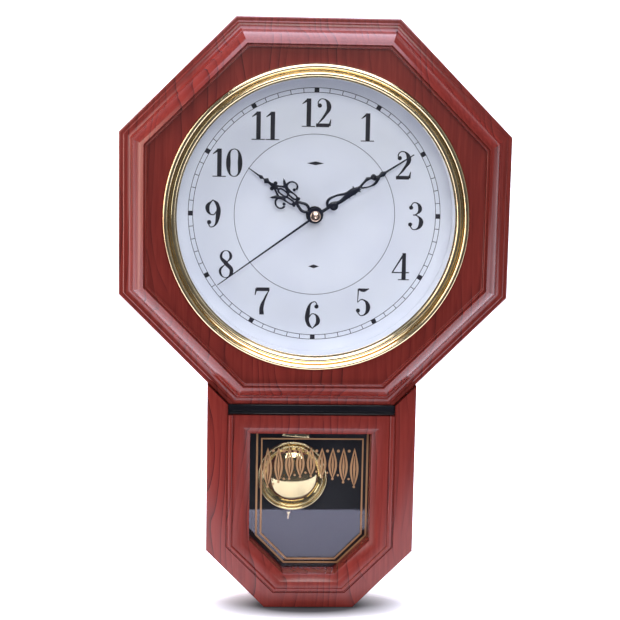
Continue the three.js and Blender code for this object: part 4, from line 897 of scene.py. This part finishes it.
# %% Printing the pane
PRINT_MIDDLE, PRINT_LINE = 2.3, 0.8
ON_PANE = (pane[3] + 0.03, 0.08)  # depth and thickness of the print
INNER_FRAME, OUTER_FRAME = (41.5, -286.4, 21.5, -184.9), (45.3, -289.4, 23.2, pane[5] - 1)
LEAVES, LEAF_PITCH, LEAF_TOP, ARCH_MIDDLE, ARCH_DROP = 9, 8.9, -191.4, -215.6, 9.0


def pane_line(half_wide, low_edge, chamfer, top, closed):
    left, right = PRINT_MIDDLE - half_wide, PRINT_MIDDLE + half_wide
    corners = [(left, top), (left, low_edge + chamfer), (left + chamfer, low_edge),
               (right - chamfer, low_edge), (right, low_edge + chamfer), (right, top)]
    return stroke("line", [(x, z, PRINT_LINE) for x, z in corners], *ON_PANE, closed, True)


def leaf(x, top, low_edge):
    """A pointed leaf with a vein in it and a foot below it."""
    wide, tall, path = LEAF_PITCH * 0.3, top - low_edge, []
    for i in range(24):
        share = i / 12 if i < 12 else 2 - i / 12
        swing = sin(pi * share ** 1.2) * (1 if i < 12 else -1)
        path.append((x + wide * swing, top - tall * share, 0.35 + 0.55 * abs(swing)))
    vein = [(x, top - tall * share, wide_here) for share, wide_here in
            ((0.2, 0.1), (0.38, 0.7), (0.56, 1.0), (0.74, 0.6), (0.88, 0.1))]
    return [stroke("leaf", path, *ON_PANE, closed=True, straight=True),
            stroke("vein", vein, *ON_PANE, straight=True),
            dot("foot", x, low_edge - 0.6, 1.0, *ON_PANE)]


def pane_print():
    made = [pane_line(*INNER_FRAME, True), pane_line(*OUTER_FRAME, False)]
    for i in range(LEAVES):
        from_middle = (i - (LEAVES - 1) / 2) / ((LEAVES - 1) / 2)
        x = PRINT_MIDDLE - 0.8 + from_middle * LEAF_PITCH * (LEAVES - 1) / 2
        low_edge = ARCH_MIDDLE - ARCH_DROP * from_middle ** 2
        made += leaf(x, LEAF_TOP - 1.2, low_edge)
        if i < LEAVES - 1:
            gap = x + LEAF_PITCH / 2
            made.append(dot("bud", gap, LEAF_TOP - 3.6, 1.2, *ON_PANE))
            made.append(dot("berry", gap, low_edge + 3.2 - 1.5 * abs(from_middle), 0.9, *ON_PANE))
    return settle(gather("pane_print", made), GILT_PRINT, "case", "gilt")


pane_print()

# %% [markdown]
# ## The pendulum
# The pendulum hangs on a plastic lever: an eye and a strap carry a false gridiron of gold
# rods between two bars, and the middle rod carries the bob and its nut. Everything is made
# hanging straight down from the pivot and then swung with it to where it rests.

# %% Hanging things on the pivot
PIVOT_Z, REST_TILT = -40.0, 4.3
HANG = Matrix.Translation(at(0, 0, PIVOT_Z)) @ Matrix.Rotation(radians(REST_TILT), 4, "Y") @ (
    Matrix.Translation(-at(0, 0, PIVOT_Z)))
grid_box, bob_box = span("pendulum_grid"), span("bob_disc")


def hung(piece):
    piece.data.transform(HANG)
    return piece


def upright(name, x, depth, low_edge, high_edge, radius, sides=24, edge=0.0):
    """A round rod that stands between two distances below the pivot."""
    nothing_selected()
    z = PIVOT_Z - (low_edge + high_edge) / 2
    bpy.ops.mesh.primitive_cylinder_add(vertices=sides, radius=radius * MM, location=at(x, depth, z),
                                        depth=abs(low_edge - high_edge) * MM)
    begin(name)
    if edge:
        bpy.ops.mesh.bevel(offset=edge * MM, segments=2, affect="EDGES")
    return close_up()


def below(name, half_wide, rear, front, high_edge, low_edge, edge=0.2):
    return block(name, -half_wide, half_wide, rear, front, PIVOT_Z - low_edge, PIVOT_Z - high_edge, edge)


# %% The gridiron
BAR_HALF, UPPER_BAR, LOWER_BAR = 11.4, (46, 50), (142.9, 146.9)
ROD_SPREAD, ROD_RADIUS = 9.8, 0.8


def gridiron():
    rear, front = grid_box[2], grid_box[3]
    depth = (rear + front) / 2
    eye = turned("eye", [[1.7, rear], [3.4, rear], [3.4, front], [1.7, front]], z=PIVOT_Z - 30,
                 segments=48, ring=True)
    made = [eye, below("strap", 1.9, rear, front, 33.2, 46.4),
            below("upper_bar", BAR_HALF, rear, front, *UPPER_BAR, 0.25),
            below("lower_bar", BAR_HALF, rear, front, *LOWER_BAR, 0.25)]
    for x in (-ROD_SPREAD, 0.0, ROD_SPREAD):
        made.append(upright("rod", x, depth, 49.8, 143.1, ROD_RADIUS))
        made += [turned("rivet", [[1.0, front - 0.2], [1.0, front + 0.25], [0.6, front + 0.45]], x=x,
                        z=PIVOT_Z - z, segments=24) for z in (48.0, 144.9)]
    made.append(upright("middle_rod", 0, depth, 146.7, 216.7, ROD_RADIUS))
    return settle(hung(gather("gold_gridiron", made)), BOB_GILT, "pendulum", "pendulum_gilt",
                  "pendulum_grid")


gridiron()


# %% [markdown]
# The bob is pressed from thin sheet: a rolled rim, a step, a bead, a dark hollow ring and a
# shallow dome that gathers the whole room in one small bright image. A strap with two cheeks
# behind it slides on the rod, and a nut below sets the clock's rate. These stay closed shapes
# of their own that pass into each other: welded, they came out inside out in places.

# %% The bob and its nut
BOB_RADIUS, BOB_DEEP, BOB_BELOW = 29.6, 5.2, 179.0


def bob():
    wide, rear = BOB_RADIUS, bob_box[3] - BOB_DEEP
    rim = arc(wide - 1.5, rear + 1.9, 1.5, 1.7, 12, -20, 180)
    bead = arc(wide - 4.6, rear + 2.7, 1.0, 1.3, 10, 0, 180)
    inner, base, swell, shoulder = 23.0, rear + 1.0, 2.7, 2.3
    steps = [(1 - i / 20) ** 0.8 for i in range(21)]
    dome = [[inner * u, base + swell * (1 - u ** 2) + shoulder * (1 - u ** 6)] for u in steps]
    profile = [[wide - 1.6, rear], *rim, [wide - 3.3, rear + 1.7], *bead, [wide - 5.8, rear + 1.5], *dome]
    disc = turned("bob_dome", profile, z=PIVOT_Z - BOB_BELOW, segments=128)
    cheeks = [block("cheek", side * 2 - 0.9, side * 2 + 0.9, 14.0, rear + 0.4, PIVOT_Z - 187,
                    PIVOT_Z - 171, 0.2) for side in (-1, 1)]
    strap = block("strap", -2.6, 2.6, bob_box[2], 14.4, PIVOT_Z - 185, PIVOT_Z - 173, 0.2)
    whole = gather("bob_dome", [disc, *cheeks, strap])
    return settle(hung(whole), BOB_GILT, "bob", "pendulum_gilt", "bob_disc", crease=40)


def nut():
    depth = (grid_box[2] + grid_box[3]) / 2
    core = upright("rating_nut_knurled", 0, depth, 208.8, 213.1, 1.75, 32, 0.2)
    flange_piece = upright("flange", 0, depth, 209.4, 211.6, 2.4, 14, 0.15)
    tip = upright("tip", 0, depth, 213.0, 214.8, 1.1, 24, 0.2)
    whole = gather("rating_nut_knurled", [core, flange_piece, tip])
    return settle(hung(whole), BOB_GILT, "nut", "brass", "rating_nut")


bob()
nut()

# %% [markdown]
# ## The back
# All the screws are plated steel with a round head, and those of the case and the hanger show
# on the black back. A cross is two crossed blocks sunk in the head. The setting knob has a
# knurled edge, so that a thumb can turn it.

# %% Screws and the setting knob
SHANK, SLOT_HALF = 1.25, 0.28


def round_span(node):
    """A round node's middle across and up, its radius, and its rear and front depth."""
    left, right, rear, front, low_edge, high_edge = span(node)
    return (left + right) / 2, (low_edge + high_edge) / 2, (right - left) / 2, rear, front


def cross_screw(node, front_side=False):
    x, z, radius, rear, front = round_span(node)
    face, into = (front, -1) if front_side else (rear, 1)
    shank = front if into > 0 else rear
    head = [[radius - 0.5, face], [radius - 0.15, face + 0.15 * into], [radius, face + 0.5 * into],
            [radius, face + 1.4 * into], [SHANK, face + 1.45 * into], [SHANK, shank - 1.2 * into], [0, shank]]
    screw = turned(node + "_cross", head, x, z, 40)
    tools = []
    for wide, high in ((radius * 0.62, SLOT_HALF), (SLOT_HALF, radius * 0.62)):
        deep = sorted((face - into, face + 0.8 * into))
        tools.append(block("slot", x - wide, x + wide, *deep, z - high, z + high))
    return settle(carve(screw, *tools), STEEL, "case", "steel", node)


def knob():
    x, z, radius, rear, front = round_span("set_knob")

    def ridged(outer):
        turns = [radians(360 * i / 48) for i in range(48)]
        return [(x + (outer - 0.3 * (i % 2)) * cos(a), z + (outer - 0.3 * (i % 2)) * sin(a))
                for i, a in enumerate(turns)]

    loops = [(ridged(radius - 0.8), rear), (ridged(radius - 0.25), rear + 0.2), (ridged(radius), rear + 0.6),
             (ridged(radius), front - 0.3), (ridged(radius - 0.3), front)]
    return settle(outlined("setting_knob", loops), BLACK_ABS, "motion", "black_plastic", "set_knob")


for screw_node in sorted(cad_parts):
    if "_screw_" in screw_node:
        cross_screw(screw_node, screw_node.startswith("hanger"))
knob()

# %% [markdown]
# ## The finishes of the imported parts
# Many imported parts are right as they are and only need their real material. A table says
# which, and every part that no piece stands for has to be in it.

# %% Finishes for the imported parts
CARRIED = {
    DIAL_PAPER: ["dial_plate"], BACK_ABS: ["back_cover"], BLACK_ABS: ["glass_retainer"],
    GREY_ABS: ["movement_case", "movement_cover", "drive_case", "drive_cover"],
    STEEL: ["hanger_plate", "stator", "crystal", "contact_plus", "contact_minus", "pivot_pin"],
    GEAR_ACETAL: ["middle_plate", "seconds_wheel", "centre_wheel", "hour_wheel", "pendulum_lever"],
    AMBER_ACETAL: ["intermediate_wheel", "third_wheel", "motion_wheel"],
    FERRITE: ["rotor", "lever_magnet"], COPPER: ["coil", "drive_coil"], BRASS: ["bush_nut"],
    RUBBER: ["bush_washer"], BOARD: ["circuit_board"], CELL_JACKET: ["battery"],
    LENS_GLASS: ["dial_lens"], PANE_GLASS: ["window_glass"],
}
for carried, names in CARRIED.items():
    for name in names:
        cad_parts[name].data.materials.clear()
        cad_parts[name].data.materials.append(carried)
print("finished", sum(len(names) for names in CARRIED.values()), "packed parts")

# %% [markdown]
# ## The studio
# A pale table carries the clock and ends about 0.23 m in front of it, so the lower half of
# the glossy case mirrors the table and the rest mirrors the dark of the room. A large soft
# light hangs over the clock, tall ones stand at its sides, and a broad one fills from ahead.
# The table also glows evenly of itself. Under the clock's foot, a soft dark ellipse is
# painted into its colour and its glow as a painted contact shadow.

# %% The studio
# The painted contact shadow: how far in front of the wall its middle lies, and its half width and half depth,
# in millimetres.
PAINTED_SHADOW_NEAR, PAINTED_SHADOW_WIDE, PAINTED_SHADOW_LONG = 45.0, 100.0, 42.0


def studio():
    made, tree, shader = finish("matt_white_sweep", Roughness=0.8, IOR=1.45)
    where = place_of(tree)
    paper = ramp(tree, noise(tree, where, 300), (0.3, "#f0f0f2"), (0.7, "#f4f4f6"))
    centred = add(tree, "Mapping", {"Vector": where, "Location": (0, PAINTED_SHADOW_NEAR * MM, 0)}).outputs["Vector"]
    round_it = add(tree, "Mapping", {"Vector": centred, "Scale": (1000 / PAINTED_SHADOW_WIDE, 1000 / PAINTED_SHADOW_LONG, 0)})
    away = add(tree, "VectorMath", {0: round_it.outputs["Vector"]}, operation="LENGTH").outputs["Value"]
    # Painted contact shadow: darkest at the middle of the ellipse and gone at its edge. It darkens both the
    # table's colour and its glow.
    shade = ramp(tree, away, (0.0, "#0c0c0c"), (0.4, "#3c3c3c"), (0.75, "#bcbcbc"), (1.0, "#ffffff"))
    for socket, plain in (("Base Color", paper), ("Emission Color", colour("#f4f4ff"))):
        under = add(tree, "Mix", {0: 1.0, 6: plain, 7: shade}, data_type="RGBA", blend_type="MULTIPLY")
        tree.links.new(under.outputs[2], shader.inputs[socket])
    shader.inputs["Emission Strength"].default_value = 0.85
    floor_z = CAD_BOX[0].z - 0.0006
    nothing_selected()
    bpy.ops.mesh.primitive_plane_add(size=1, location=(0, 1.35, floor_z))
    bpy.context.object.scale = (8, 3.3, 1)
    table = begin("table")
    bpy.ops.mesh.select_all(action="DESELECT")
    mesh = open_mesh()
    for edge in mesh.edges:
        edge.select_set(all(v.co.y > 2 for v in edge.verts))
    bmesh.update_edit_mesh(table.data)
    extrude(0, 0.6, 3.5)
    bpy.ops.object.mode_set(mode="OBJECT")
    table.data.materials.append(made)
    print("table front edge", round(min(v.co.y for v in table.data.vertices), 3))


def softbox(name, place, target, size, power, tint="#ffffff"):
    data = bpy.data.lights.new(name, "AREA")
    data.shape, data.size, data.size_y, data.energy = "RECTANGLE", size[0], size[1], power
    data.color = colour(tint)[:3]
    lamp = bpy.data.objects.new(name, data)
    lamp.location = place
    lamp.rotation_euler = (Vector(target) - Vector(place)).to_track_quat("-Z", "Y").to_euler()
    bpy.context.collection.objects.link(lamp)


studio()
middle = (0, 0, -0.2)
softbox("overhead", (0.0, 0.3, 1.2), (0.0, 0.3, -1.0), (1.8, 2.5), 72, "#e8eaff")
softbox("left", (-1.25, -0.1, 0.0), middle, (0.4, 1.2), 10, "#ffdccc")
softbox("left_front", (-1.3, -0.8, 0.3), middle, (0.5, 1.2), 5)
softbox("right", (1.4, -0.9, 0.2), middle, (0.5, 1.2), 0.8)
softbox("front", (0.2, -2.4, 0.9), middle, (1.4, 1.0), 31)
world = bpy.data.worlds.new("room")
bpy.context.scene.world = world
world.use_nodes = True
world.node_tree.nodes["Background"].inputs["Color"].default_value = colour("#b4b8c4")
world.node_tree.nodes["Background"].inputs["Strength"].default_value = 0.24
bpy.context.scene.view_settings.view_transform = "Standard"
